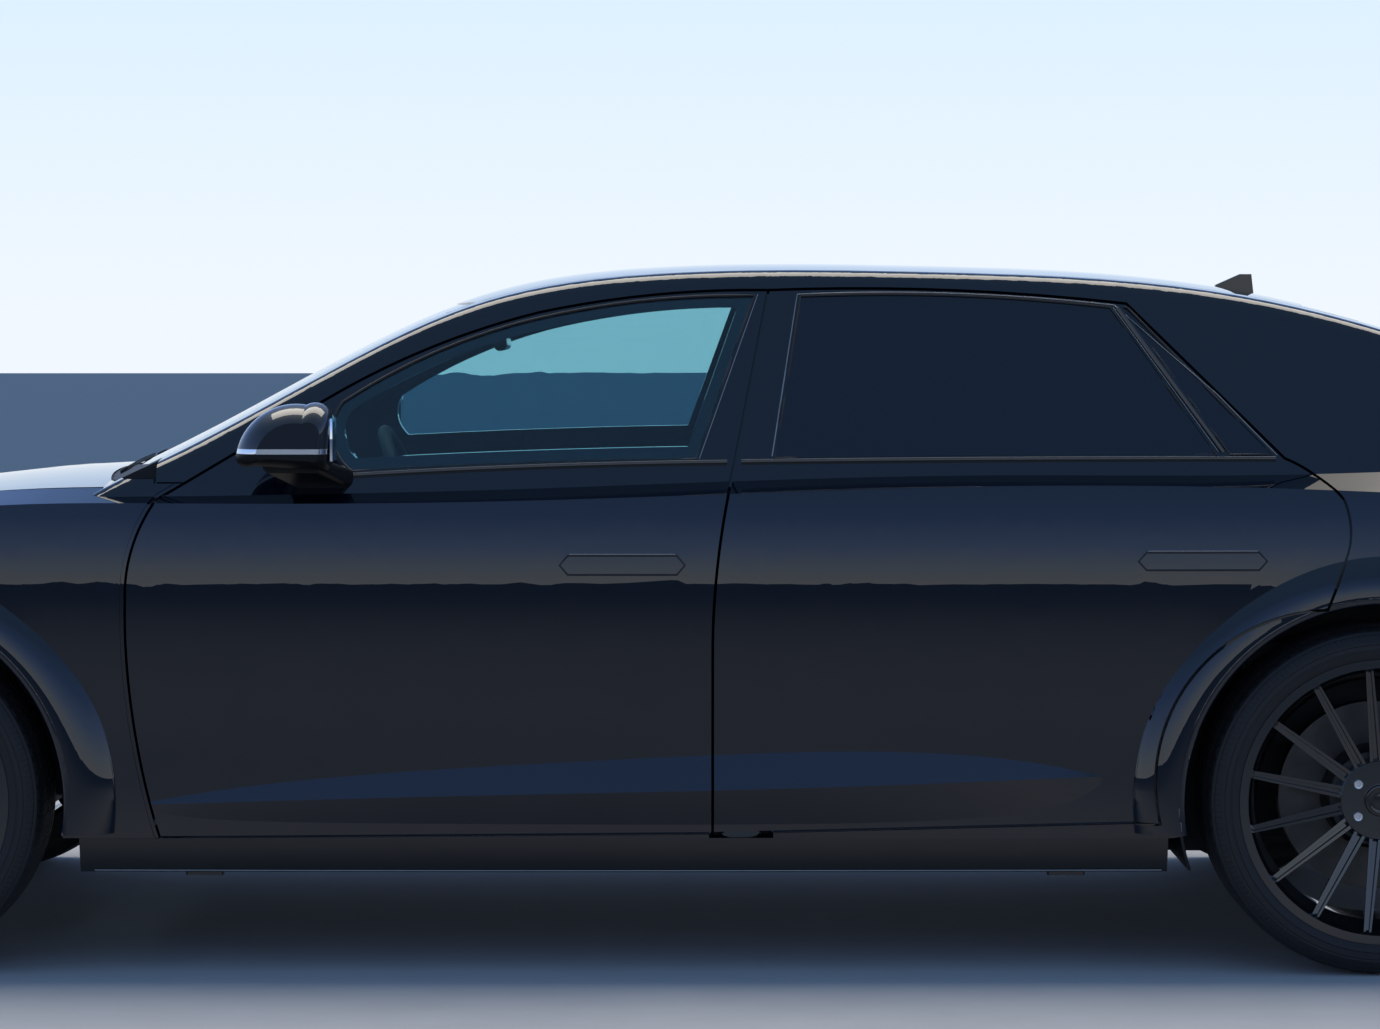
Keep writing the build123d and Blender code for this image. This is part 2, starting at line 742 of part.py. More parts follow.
def build_grille():
    """Grille insert in the bumper opening: a rim, level bars and upright ribs."""
    outer = end_prism(GRILLE, NOSE - 100, at(-2400))
    face = grown(outline(GRILLE[0], GRILLE[1], end_view(NOSE - 100)), -GRILLE_RIM)
    inner = extrude(face, amount=400, dir=(1, 0, 0))
    panel = (body_form(SKIN) & (outer + mirrored(outer))) - body_form(WALL)
    low = up(GRILLE[0][1]) + GRILLE_RIM
    pitch = (up(GRILLE[1][-1][1]) - GRILLE_RIM - low) / GRILLE_BARS
    cells = []
    for row in range(GRILLE_BARS):
        z = low + row * pitch
        for column in range(4):
            near = RIB_PITCH * column + (0 if column == 0 else BAR_TALL / 2)
            far = RIB_PITCH * (column + 1) - BAR_TALL / 2
            cells.append(box(NOSE - 60, NOSE + 300, -near, -far, z, z + pitch - BAR_TALL))
    window = Compound(children=cells) & inner
    return panel - window - mirrored(window)


def build_cowl():
    """Panel between hood and windscreen that carries the wipers, with a ledge under the hood."""
    region = box(at(-1345), at(-1162), -wd(788), wd(788), up(900), 3000)
    panel = (body_form(0) & region) - body_form(WALL)
    panel -= plan_region(HOOD, SHUT_GAP / 2, up(600))
    panel -= plan_region(WINDSCREEN, 0, up(900)) - body_form(GLASS_STEP)
    panel -= plan_region(WINDSCREEN, -GLASS_LAP, up(900))
    return panel + rebate(HOOD, up(600), box(at(-1372), at(-1240), -wd(735), wd(735), 0, 3000), 0)


JACK_STATIONS = (-1060.0, 760.0)
JACK_FACE = GROUND_CLEARANCE - 9.0


def build_sills():
    """Rocker covers below the doors."""
    region = box(at(-1320), at(972), -1200, -wd(DOOR_INNER_Y), 0, up(288))
    sill = left_outer() & region
    for x in JACK_STATIONS:
        x0, y0 = at(x), -wd(DOOR_INNER_Y)
        pad = box(x0 - 40, x0 + 40, y0 - 45, y0 - 5, JACK_FACE, GROUND_CLEARANCE + 20)
        sill += fillet(pad.edges().filter_by(Axis.Z), 10)
    return both(sill)


def sheet(points, thickness, y0, y1):
    """Bent sheet across the car above its side-view line."""
    upper = []
    for i, (x, z) in enumerate(points):
        before = points[max(i - 1, 0)]
        after = points[min(i + 1, len(points) - 1)]
        run = sqrt((after[0] - before[0]) ** 2 + (after[1] - before[1]) ** 2)
        across = (after[1] - before[1]) / run
        along = (after[0] - before[0]) / run
        upper.append((x - across * thickness, z + along * thickness))
    ring = [Vector(x, 0, z) for x, z in points] + [Vector(x, 0, z) for x, z in reversed(upper)]
    return side_prism(Face(Wire.make_polygon(ring, close=True)), y0, y1)


TOW_RADIUS = 8.0
TOW_DEPTH = 50.0


def tow_socket():
    """Mouth of the threaded socket for the front towing eye."""
    return at(-2460) - TOW_DEPTH, wd(300), 480.0


def build_floor():
    """Floor pan: firewall, floor, kick-up, boot floor, tunnel and rails."""
    y = wd(DOOR_INNER_Y)
    low = GROUND_CLEARANCE
    arch_y = wd(545)
    profile = ((at(-1222), up(985)), (at(-1222), 360), (at(-1120), low), (at(975), low))
    pan = sheet(profile, 12, -y, y)
    rear = ((at(975), low), (at(1120), low), (at(1190), 350), (at(2470), 350), (at(2480), up(690)))
    pan += sheet(rear, 12, -arch_y, arch_y)
    pan += box(at(-1150), at(1120), -110, 110, low, low + 150)
    pan -= box(at(-1300), at(1160), -98, 98, 0, low + 138)
    for side in (-1, 1):
        pan += box(at(-2450), at(-1215), side * wd(330), side * wd(380), 400, 500)
    pan += box(at(1388), at(1397), -arch_y, arch_y, 350, up(985))
    pan += box(at(1388), at(1397), -wd(700), wd(700), up(810), up(985))
    pan += box(at(1390), at(2060), -wd(640), wd(640), up(973), up(985))
    pan += box(at(-2460), at(-2440), -wd(440), wd(440), 300, 560)
    x, y, z = tow_socket()
    pan += Pos(x + TOW_DEPTH / 2 + 10, y, z) * (Rot(0, 90, 0) * Cylinder(TOW_RADIUS + 12, TOW_DEPTH + 20))
    return pan - Pos(x + TOW_DEPTH / 2, y, z) * (Rot(0, 90, 0) * Cylinder(TOW_RADIUS, TOW_DEPTH))


# Arch liners: axle, inner wall y, lower edge z, half length and top of the notch for the suspension.
LINERS = (
    (FRONT_AXLE, 470, 330, 215, 730),
    (REAR_AXLE, 548, GROUND_CLEARANCE, 245, 600),
)


def build_liners(grow=0.0):
    """Liners of the left arches with their inner walls, or the room they need if grown."""
    near = ARCH_RADIUS + 6 - grow
    far = ARCH_RADIUS + 12 + grow
    left = []
    for axle, inner, low, half, notch in LINERS:
        y = -wd(inner) + grow
        wall = y - 5 - 2 * grow
        rows = ((0, y), (far, y), (far, -1200), (near, -1200), (near, wall), (0, wall))
        ring = turned(rows, axle, TYRE_RADIUS)
        shape = ring & box(axle - 600, axle + 600, -1200, 0, low, 1200)
        shape -= box(axle - half, axle + half, wall - 1, y + 1, 0, notch)
        left.append(shape & left_form(SKIN))
    left[0] -= Pos(FRONT_AXLE, -strut_y(), 700) * Cylinder(60, 400)
    return left


def strut_y():
    """Distance of the front struts from the car's middle."""
    return WHEEL_Y - KINGPIN_INSET - 175


def build_knuckle():
    """Left hub carrier at its wheel centre, axis along Y, with stub axle and caliper."""
    pin = KINGPIN_INSET
    inner = DISC_THICKNESS / 2 + 26 + 7.5
    hub = turned(((0, inner), (62, inner), (62, inner + 50), (0, inner + 50)), 0, 0)
    stub = turned(((0, -39.7), (30, -39.7), (30, inner), (0, inner)), 0, 0)
    upright = box(-32, 32, inner, inner + 46, -170, 170)
    cal = [(150, -16), (236, -16), (236, 76), (150, 76), (150, 50), (207, 50), (207, 2), (150, 2)]
    ring = turned(cal, 0, 0)
    caliper = ring & box(70, 300, -100, 100, -110, 110)
    bracket = box(20, 160, inner + 4, inner + 30, -60, 60)
    pads = Pos(0, pin, 176) * Cylinder(24, 24) + Pos(0, pin, -176) * Cylinder(24, 24)
    return hub + stub + upright + caliper + bracket + pads


def wheel_spot(axle, side):
    """Place of a wheel: side -1 left, 1 right, outer face outward."""
    return Pos(axle, side * WHEEL_Y, TYRE_RADIUS) * Rot(0, 0, 0 if side < 0 else 180)


def wishbone(side, x_foot, y_foot, y_pin, z):
    """Forked arm between two feet on the crossmember and the kingpin."""
    points = [
        (-x_foot, y_foot - 20), (-26, y_pin + 22), (26, y_pin + 22), (x_foot, y_foot - 20),
        (x_foot - 60, y_foot), (0, y_pin - 70), (60 - x_foot, y_foot),
    ]
    face = Face(Wire.make_polygon([Vector(FRONT_AXLE + x, side * y, z) for x, y in points], close=True))
    return extrude(face, amount=16, dir=(0, 0, 1))


def build_front_suspension():
    """Crossmember, wishbones and struts of the front axle."""
    y_pin = WHEEL_Y - KINGPIN_INSET
    x = FRONT_AXLE
    shape = box(x - 220, x + 220, -wd(440), wd(440), 230, 300)
    for side in (-1, 1):
        shape += wishbone(side, 150, wd(430), y_pin, TYRE_RADIUS - 204 - SEAT_GAP)
        shape += wishbone(side, 150, wd(436), y_pin, TYRE_RADIUS + 188 + SEAT_GAP)
        shape += Pos(x, side * strut_y(), 515) * Cylinder(34, 670)
        shape += box(x - 160, x + 160, side * wd(400), side * wd(440), 160, 700)
        shape += box(x - 70, x + 70, side * wd(400), side * strut_y(), 700, 720)
        shape += box(x - 40, x + 40, side * wd(330), side * wd(402), 300, 400)
    return shape


def build_rear_suspension():
    """Subframe, links and hub carriers of the rear axle."""
    x = REAR_AXLE
    shape = box(x - 60, x + 220, -wd(430), wd(430), 250, 350)
    shape += box(x - 110, x + 120, -130, 130, 240, 340)
    carrier = build_knuckle()
    for side in (-1, 1):
        shape += wheel_spot(x, side) * carrier
        hub_y = WHEEL_Y - 98
        shape += box(x - 30, x + 60, side * wd(420), side * hub_y, 262, 282)
        shape += box(x + 70, x + 100, side * wd(420), side * hub_y, 320, 336)
        shape += box(x - 30, x + 100, side * (hub_y - 30), side * (hub_y + 30), 262, 336)
        shape += Pos(x, side * (130 + hub_y) / 2, 300) * (Rot(90, 0, 0) * Cylinder(22, hub_y - 130))
    return shape


def build_engine():
    """Engine as one plain block."""
    return box(FRONT_AXLE - 230, FRONT_AXLE + 390, -wd(250), wd(250), 300, 860)


def build_exhaust():
    """Rear silencer with its hanger and twin tailpipes."""
    shape = Pos(at(2150), 0, 270) * (Rot(90, 0, 0) * Cylinder(75, 800))
    length = TAIL - 120 - at(2150)
    for side in (-1, 1):
        shape += Pos(at(2150) + length / 2, side * 340, 270) * (Rot(0, 90, 0) * Cylinder(36, length))
    shape += box(at(2100), at(2200), -60, 60, 300, 350)
    return shape


def build_fuel_tank():
    """Fuel tank under the rear seat."""
    return box(REAR_AXLE - 225, REAR_AXLE - 115, -wd(500), wd(500), 240, 350)


# Side view of a front seat from the lower rear corner of its cushion.
SEAT = ((-530, 0), (
    (-548, 60, -535, 120),
    (-515, 170, -465, 174),
    (-300, 150, -130, 152),
    (-88, 160, -70, 205),
    (0, 430, 92, 660),
    (110, 700, 150, 704),
    (188, 700, 190, 660),
    (125, 380, 70, 130),
    (55, 25, 15, 0),
))
# Side view of the rear bench from the same corner.
BENCH = ((-500, 0), (
    (-518, 60, -506, 110),
    (-488, 150, -440, 154),
    (-280, 128, -120, 128),
    (-80, 138, -62, 180),
    (-20, 400, 20, 590),
    (34, 624, 70, 626),
    (94, 622, 95, 590),
    (95, 0),
))


def seat_block(rows, x, z, y0, y1, amount=0.0):
    """Slice of a seat between two Y planes, with its outline moved outward by amount."""
    face = outline(rows[0], rows[1], lambda px, pz: Vector(x + px, 0, z + pz))
    return side_prism(grown(face, amount) if amount else face, y0, y1)


def build_front_seats():
    """Pair of front seats with bolsters, headrests and runners."""
    solids = []
    half = wd(SEAT_WIDTH) / 2
    x, z = at(60), 322.0
    for side in (-1, 1):
        y = side * wd(390)
        seat = seat_block(SEAT, x, z, y - half + 70, y + half - 70)
        for edge in (-1, 1):
            y0, y1 = sorted((y + edge * half, y + edge * (half - 70)))
            seat += seat_block(SEAT, x, z, y0, y1, 24.0)
        plane = Plane(origin=(x + 152, y, z + 800), z_dir=(0, 1, 0), x_dir=(1, 0, 0))
        head = plane * RectangleRounded(96, 190, 40)
        seat += Pos(0, -wd(135), 0) * extrude(head, amount=wd(270), dir=(0, 1, 0))
        for post in (-60, 60):
            seat += Pos(x + 150, y + post, z + 700) * Cylinder(8, 120)
        for runner in (-180, 180):
            seat += box(x - 480, x, y + runner - 20, y + runner + 20, GROUND_CLEARANCE + 12, z + 20)
        solids += seat.solids()
    return Compound(children=solids)


def build_rear_seat(floor):
    """Rear bench with three places and its headrests."""
    x, z, half = at(1290), 362.3, wd(660)
    seat = seat_block(BENCH, x, z, -half, half)
    for side in (-1, 1):
        y0, y1 = sorted((side * half, side * wd(230)))
        seat += seat_block(BENCH, x, z, y0, y1, 14.0)
        head = box(x + 10, x + 85, side * wd(300), side * wd(520), z + 615, z + 720)
        seat += fillet(head.edges(), 20)
    seat &= box(-5000, at(1387), -2000, 2000, z, 3000)
    for side in (-1, 1):
        arch = round_wheel(REAR_AXLE, ARCH_RADIUS + 14) & box(0, 3000, side * wd(540), side * 2000, 0, 3000)
        seat -= arch
    return seat - floor


# Side view of the dashboard, in the drawing's X and Z.
DASH = ((-1186, 640), (
    (-1186, 960),
    (-1080, 1008, -960, 990),
    (-850, 960, -802, 900),
    (-800, 850, -850, 810),
    (-905, 770, -915, 640),
))


def build_dashboard():
    """Dashboard across the cabin with an instrument hood and the centre console."""
    dash = side_prism(outline(DASH[0], DASH[1], side_view), -wd(800), wd(800))
    hood = Pos(at(-900), -wd(380), up(985)) * (Rot(0, 90, 0) * Cylinder(wd(150), 160))
    dash += hood & box(at(-1000), at(-800), -wd(560), -wd(200), up(940), up(1040))
    y = wd(105)
    console = box(at(-900), at(-60), -y, y, GROUND_CLEARANCE + 150, 560)
    console += box(at(-420), at(-80), -y + 12, y - 12, 560, 600)
    console += box(at(-1000), at(-880), -y, y, GROUND_CLEARANCE + 150, 700)
    console = fillet(console.edges().filter_by(Axis.X).sort_by(Axis.Z)[-2:], 10)
    bore = steering_place() * (Pos(0, 0, -150) * Cylinder(COLUMN_RADIUS + SEAT_GAP, 160))
    return dash + console - bore


STEER_X = -640.0
STEER_Z = 965.0
STEER_TILT = 24.0
COLUMN_RADIUS = 20.0


def steering_place():
    """Place of the steering wheel: its Z is the column axis, toward the driver."""
    return Pos(at(STEER_X), -wd(380), up(STEER_Z)) * Rot(0, 90 - STEER_TILT, 0)


def build_steering_wheel():
    """Steering wheel with its boss and column stub."""
    rim = Torus(178, 15)
    boss = Pos(0, 0, -12) * Cylinder(60, 40)
    spokes = Box(340, 34, 14) + Pos(0, -85, 0) * Box(30, 170, 14)
    column = Pos(0, 0, -115) * Cylinder(COLUMN_RADIUS, 190)
    wheel = rim + boss + spokes + column
    return steering_place() * (Rot(0, 0, 90) * wheel)


# Mirror shell: section y, front and rear x, lower and upper z.
MIRROR = (
    (-918, -915, -790, 1078, 1172),
    (-960, -958, -776, 1070, 1194),
    (-1045, -966, -774, 1072, 1197),
    (-1085, -925, -795, 1088, 1165),
)
# Outline of a mirror section as shares of its length and height, from the lower front.
MIRROR_OUTLINE = ((0.0, 0.24), (
    (0.22, 0.80, 0.72, 1.0),
    (0.93, 0.97, 1.0, 0.72),
    (0.97, 0.12),
    (0.95, 0.02, 0.85, 0.0),
    (0.15, 0.06),
    (0.02, 0.10, 0.0, 0.24),
))


def build_mirror():
    """Left door mirror: sloping shell on a foot."""
    sections = []
    for y, x0, x1, z0, z1 in MIRROR:
        def place(u, v, y=y, x0=x0, x1=x1, z0=z0, z1=z1):
            return Vector(at(x0 + u * (x1 - x0)), wd(y), up(z0 + v * (z1 - z0)))

        sections.append(outline(MIRROR_OUTLINE[0], MIRROR_OUTLINE[1], place))
    feet = []
    for x, y, z, width, tall in ((-805, -845, 1042, 125, 44), (-862, -985, 1078, 120, 36)):
        plane = Plane(origin=(at(x), wd(y), up(z)), z_dir=(0, -1, 0), x_dir=(1, 0, 0))
        feet.append(plane * RectangleRounded(width, tall, 15))
    return loft(sections) + (loft(feet) - left_outer())


HANDLES = {
    "front_door": ((-307, 866), ((-290, 886), (-62, 886), (-45, 866), (-62, 846), (-290, 846))),
    "rear_door": ((903, 874), ((920, 892), (1156, 892), (1173, 874), (1156, 855), (920, 855))),
}


def build_handle(name):
    """Flush door handle."""
    face = outline(HANDLES[name][0], HANDLES[name][1], side_view)
    return shell_of(grown(face, -1.5), left_outer(), SKIN), shell_of(face, left_form(-1), SKIN)


def build_fin():
    """Aerial fin on the roof."""
    points = ((1179, 1440), (1179, 1456), (1235, 1481), (1262, 1481), (1269, 1420))
    face = Face(Wire.make_polygon([Vector(at(x), 0, up(z)) for x, z in points], close=True))
    return side_prism(face, -9, 9) - body_form(0)


def build_wipers():
    """Two wiper arms with blades parked along the windscreen base."""
    solids = []
    for x, y in ((-1282, -520), (-1276, 60)):
        strip = box(at(x), at(x) + 16, wd(y), wd(y + 470), up(900), up(1200))
        arm = (body_form(0) & strip) - body_form(SKIN)
        solids += (Pos(0, 0, SKIN + 0.5) * arm).solids()
    return Compound(children=solids)


def write(name, shape):
    """Save one node."""
    export_step(shape, f"parts/{name}.step")


def write_pair(name, left, right=None):
    """Save a left node and its right twin."""
    write(name + "_left", left)
    write(name + "_right", right if right is not None else mirrored(left))


def main():
    """Build and save every node."""
    os.makedirs("parts", exist_ok=True)
    holes = []
    ledge = door_ledge()
    for name, rows, panes, line in (
        ("front_door", FRONT_DOOR, (FRONT_GLASS,), A_LINE),
        ("rear_door", REAR_DOOR, (REAR_GLASS, QUARTER_GLASS), B_LINE),
    ):
        door, glass, spaces = build_door(rows, panes, line, ledge)
        handle, pocket = build_handle(name)
        holes += spaces
        write_pair(name, door - pocket)
        write_pair(name + "_glass", glass)
        write_pair(name + "_handle", handle)
    write("hood", build_hood())
    write("boot_lid", build_boot_lid())
    write("roof", build_roof())
    write("windscreen", build_screen(WINDSCREEN))
    write("rear_window", build_screen(REAR_WINDOW))
    liners = build_liners()
    door_side = box(at(600), REAR_AXLE, -1200, RUNNING_GAP - wd(DOOR_INNER_Y), 0, 1200)
    liners[1] -= (holes[2] + holes[3]) & door_side
    write_pair("front_fender", build_fender(holes[0]))
    write_pair("side_frame", build_side_frame(holes) - build_liners(1.0)[1])
    write("wheel_arch_liners", Compound(children=[s for p in liners for s in both(p).solids()]))
    write("front_bumper", build_front_bumper())
    write("rear_bumper", build_rear_bumper())
    write("headlamps", build_headlamps())
    write("tail_lamps", build_tail_lamps())
    write("grille", build_grille())
    write("cowl", build_cowl())
    write("side_sills", build_sills())
    floor = build_floor()
    write("floor", floor)
    write("front_suspension", build_front_suspension())
    write("rear_suspension", build_rear_suspension())
    write("engine", build_engine())
    write("exhaust", build_exhaust())
    write("fuel_tank", build_fuel_tank())
    write("front_seats", build_front_seats())
    write("rear_seat", build_rear_seat(floor))
    write("dashboard", build_dashboard())
    write("steering_wheel", build_steering_wheel())
    write_pair("mirror", build_mirror())
    write("aerial_fin", build_fin())
    write("wipers", build_wipers())
    tyre, rim, disc, knuckle = build_tyre(), build_rim(), build_disc(), build_knuckle()
    for axle, end in ((FRONT_AXLE, "front"), (REAR_AXLE, "rear")):
        for side, hand in ((-1, "left"), (1, "right")):
            spot = wheel_spot(axle, side)
            write(f"{end}_tyre_{hand}", spot * tyre)
            write(f"{end}_rim_{hand}", spot * rim)
            write(f"{end}_brake_disc_{hand}", spot * disc)
            if end == "front":
                write(f"front_knuckle_{hand}", spot * knuckle)


main()
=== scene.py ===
import bpy
import math
from mathutils import Matrix, Vector


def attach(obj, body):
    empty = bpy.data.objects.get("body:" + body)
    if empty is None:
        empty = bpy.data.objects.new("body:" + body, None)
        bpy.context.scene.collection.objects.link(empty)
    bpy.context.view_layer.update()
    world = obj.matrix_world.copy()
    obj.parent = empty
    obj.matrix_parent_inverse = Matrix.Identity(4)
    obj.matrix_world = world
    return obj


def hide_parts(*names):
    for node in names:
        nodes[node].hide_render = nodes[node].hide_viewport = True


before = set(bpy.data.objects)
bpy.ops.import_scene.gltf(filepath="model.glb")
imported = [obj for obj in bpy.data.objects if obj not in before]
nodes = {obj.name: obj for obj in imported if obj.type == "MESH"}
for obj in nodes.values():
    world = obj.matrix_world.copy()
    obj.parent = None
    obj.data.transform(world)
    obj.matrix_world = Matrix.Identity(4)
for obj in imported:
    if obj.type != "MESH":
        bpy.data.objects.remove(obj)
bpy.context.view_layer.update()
bpy.ops.object.select_all(action="DESELECT")
SIDES = (("left", -1), ("right", 1))


# Body panels. Pressed steel and aluminium skins under a midnight blue-black paint with a
# clear coat, sprayed in one colour over doors, fenders, roof, hood, lid and bumper covers.
class Value:
    """A shader socket that takes part in plain arithmetic."""

    def __init__(self, tree, socket):
        self.tree = tree
        self.socket = socket

    def math(self, operation, first, second=0.0, clamp=False):
        node = self.tree.nodes.new("ShaderNodeMath")
        node.operation = operation
        node.use_clamp = clamp
        for index, item in enumerate((first, second)):
            if isinstance(item, Value):
                self.tree.links.new(item.socket, node.inputs[index])
            else:
                node.inputs[index].default_value = item
        return Value(self.tree, node.outputs[0])

    def __add__(self, other):
        return self.math("ADD", self, other)

    __radd__ = __add__

    def __mul__(self, other):
        return self.math("MULTIPLY", self, other)

    __rmul__ = __mul__

    def __sub__(self, other):
        return self.math("SUBTRACT", self, other)

    def __rsub__(self, other):
        return self.math("SUBTRACT", other, self)

    def above(self, edge, soft=0.001):
        """1 where this value is past edge, 0 before it."""
        return self.math("MULTIPLY", self - edge, 1.0 / soft, clamp=True)

    def stripes(self, pitch, share, soft=0.08):
        """1 on a share of every pitch, with soft edges, 0 between."""
        wave = self.math("ABSOLUTE", self.math("FRACT", self * (1.0 / pitch)) - 0.5) * 2.0
        return self.math("MULTIPLY", share - wave, 1.0 / soft, clamp=True)


class Finish:
    """One material with its Principled shader."""

    def __init__(self, name, **sockets):
        self.material = bpy.data.materials.new(name)
        self.material.use_nodes = True
        self.tree = self.material.node_tree
        self.shader = self.tree.nodes["Principled BSDF"]
        self.place = None
        for key, value in sockets.items():
            self.set(key.replace("_", " "), value)

    def plug(self, socket, value):
        """Links a value to a socket, or writes a number or colour in it."""
        if isinstance(value, Value):
            self.tree.links.new(value.socket, socket)
        elif isinstance(value, tuple) and len(value) == 3 and socket.type == "RGBA":
            socket.default_value = (*value, 1.0)
        else:
            socket.default_value = value

    def set(self, name, value):
        self.plug(self.shader.inputs[name], value)

    def node(self, kind, settings=None, output=0, **inputs):
        """A node of that type: settings first, then values or links of its sockets."""
        node = self.tree.nodes.new(kind)
        for key, value in (settings or {}).items():
            setattr(node, key, value)
        for key, value in inputs.items():
            self.plug(node.inputs[key.replace("_", " ")], value)
        return Value(self.tree, node.outputs[output])

    def spot(self):
        """Object coordinates, which here are places on the car in metres."""
        if self.place is None:
            self.place = self.node("ShaderNodeTexCoord", output=3)
        return self.place

    def axes(self):
        """The three object coordinates as values."""
        split = self.node("ShaderNodeSeparateXYZ", Vector=self.spot())
        outputs = split.socket.node.outputs
        return [Value(self.tree, outputs[index]) for index in range(3)]

    def noise(self, scale, detail=2.0, roughness=0.5):
        """Soft noise from 0 to 1."""
        return self.node("ShaderNodeTexNoise", Vector=self.spot(), Scale=scale, Detail=detail,
                         Roughness=roughness)

    def mix(self, factor, first, second):
        """Colour between two colours."""
        node = self.tree.nodes.new("ShaderNodeMix")
        node.data_type = "RGBA"
        for index, item in ((0, factor), (6, first), (7, second)):
            self.plug(node.inputs[index], item)
        return Value(self.tree, node.outputs[2])

    def bump(self, height, strength=0.2, distance=0.001):
        """Surface relief that feeds Normal."""
        relief = self.node("ShaderNodeBump", Height=height, Strength=strength, Distance=distance)
        self.set("Normal", relief)

    def on(self, *objects):
        """Gives the material to these objects."""
        for item in objects:
            item.data.materials.clear()
            item.data.materials.append(self.material)


def cad(*names):
    """CAD nodes by name, with both twins where a node has them."""
    found = []
    for name in names:
        if name in nodes:
            found.append(nodes[name])
        else:
            found += [nodes[f"{name}_{side}"] for side, _ in SIDES]
    return found


paint = Finish("midnight_paint", Roughness=0.35, Specular_IOR_Level=0.0, Coat_Weight=1.0,
               Coat_Roughness=0.006, Coat_IOR=1.6)
paint.set("Base Color", paint.mix(paint.noise(2600.0, 1.0), (0.0006, 0.0014, 0.0042),
                                  (0.0014, 0.003, 0.009)))
paint.on(*cad("hood", "boot_lid", "roof", "front_fender", "side_frame", "front_door", "rear_door"))
paint.on(*cad("front_bumper", "rear_bumper", "front_door_handle", "rear_door_handle", "aerial_fin"))


# Window glass. Curved tempered sheets, tinted green-blue in front and dark behind the
# front seats, bonded or run in rubber channels.
clear_glass = Finish("tinted_glass", Roughness=0.0, IOR=1.45, Transmission_Weight=1.0)
clear_glass.set("Base Color", clear_glass.mix(clear_glass.noise(3.0), (0.42, 0.68, 0.72),
                                              (0.45, 0.71, 0.75)))
clear_glass.on(*cad("front_door_glass", "windscreen"))
dark_glass = Finish("privacy_glass", Roughness=0.0, IOR=1.48, Specular_IOR_Level=0.6)
dark_glass.set("Base Color", dark_glass.mix(dark_glass.noise(2.0), (0.0012, 0.0035, 0.009),
                                            (0.0016, 0.0045, 0.012)))
dark_glass.on(*cad("rear_door_glass", "rear_window"))


# Glass seals. Extruded rubber lips that close the step between each pane and its door,
# laid along the pane's outline.
def arc(first, middle, last, count=12):
    """Points of the circular arc through three points, without the first."""
    (ax, az), (bx, bz), (cx, cz) = first, middle, last
    d = 2 * (ax * (bz - cz) + bx * (cz - az) + cx * (az - bz))
    a2, b2, c2 = ax * ax + az * az, bx * bx + bz * bz, cx * cx + cz * cz
    ox = (a2 * (bz - cz) + b2 * (cz - az) + c2 * (az - bz)) / d
    oz = (a2 * (cx - bx) + b2 * (ax - cx) + c2 * (bx - ax)) / d
    start = math.atan2(az - oz, ax - ox)
    turn = (math.atan2(cz - oz, cx - ox) - start) % math.tau
    if (math.atan2(bz - oz, bx - ox) - start) % math.tau > turn:
        turn -= math.tau
    radius = math.hypot(ax - ox, az - oz)
    angles = [start + turn * k / count for k in range(1, count + 1)]
    return [(ox + radius * math.cos(a), oz + radius * math.sin(a)) for a in angles]


def path_of(rows, step=0.04):
    """Close points along an outline of points (x, z) and arcs (x_mid, z_mid, x, z)."""
    path = [rows[0]]
    for row in rows[1:]:
        if len(row) == 4:
            path += arc(path[-1], row[:2], row[2:])
            continue
        (x0, z0), (x1, z1) = path[-1], row
        count = max(1, round(math.dist(path[-1], row) / step))
        path += [(x0 + (x1 - x0) * k / count, z0 + (z1 - z0) * k / count) for k in range(1, count + 1)]
    return path


def on_side(path, target, side, proud=0.0):
    """Side-view points laid on the outside of a CAD node."""
    laid = []
    for x, z in path:
        hit, place, _, _ = target.ray_cast((x, side * 1.5, z), (0, -side, 0))
        if hit:
            laid.append((x, place.y + side * proud, z))
    return laid


def settle(name, body, finish, angle=35):
    """Names the active piece, applies its place, smooths it and hands it to its body."""
    piece = bpy.context.object
    piece.name = name
    piece.data.name = name
    bpy.ops.object.transform_apply(location=True, rotation=True, scale=True)
    bpy.ops.object.shade_smooth_by_angle(angle=math.radians(angle))
    finish.on(piece)
    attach(piece, body)
    return piece


def bar(name, body, finish, points, thick, tall=0.0, closed=False):
    """Moulding laid along points: round in section, or flat where it has a height."""
    curve = bpy.data.curves.new(name, "CURVE")
    curve.dimensions = "3D"
    curve.bevel_depth = thick / 2
    curve.bevel_resolution = 2
    curve.extrude = tall / 2
    curve.use_fill_caps = True
    spline = curve.splines.new("POLY")
    spline.points.add(len(points) - 1)
    for point, place in zip(spline.points, points):
        point.co = (*place, 1.0)
    spline.use_cyclic_u = closed
    piece = bpy.data.objects.new(name, curve)
    bpy.context.collection.objects.link(piece)
    bpy.ops.object.select_all(action="DESELECT")
    piece.select_set(True)
    bpy.context.view_layer.objects.active = piece
    bpy.ops.object.convert(target="MESH")
    return settle(name, body, finish)


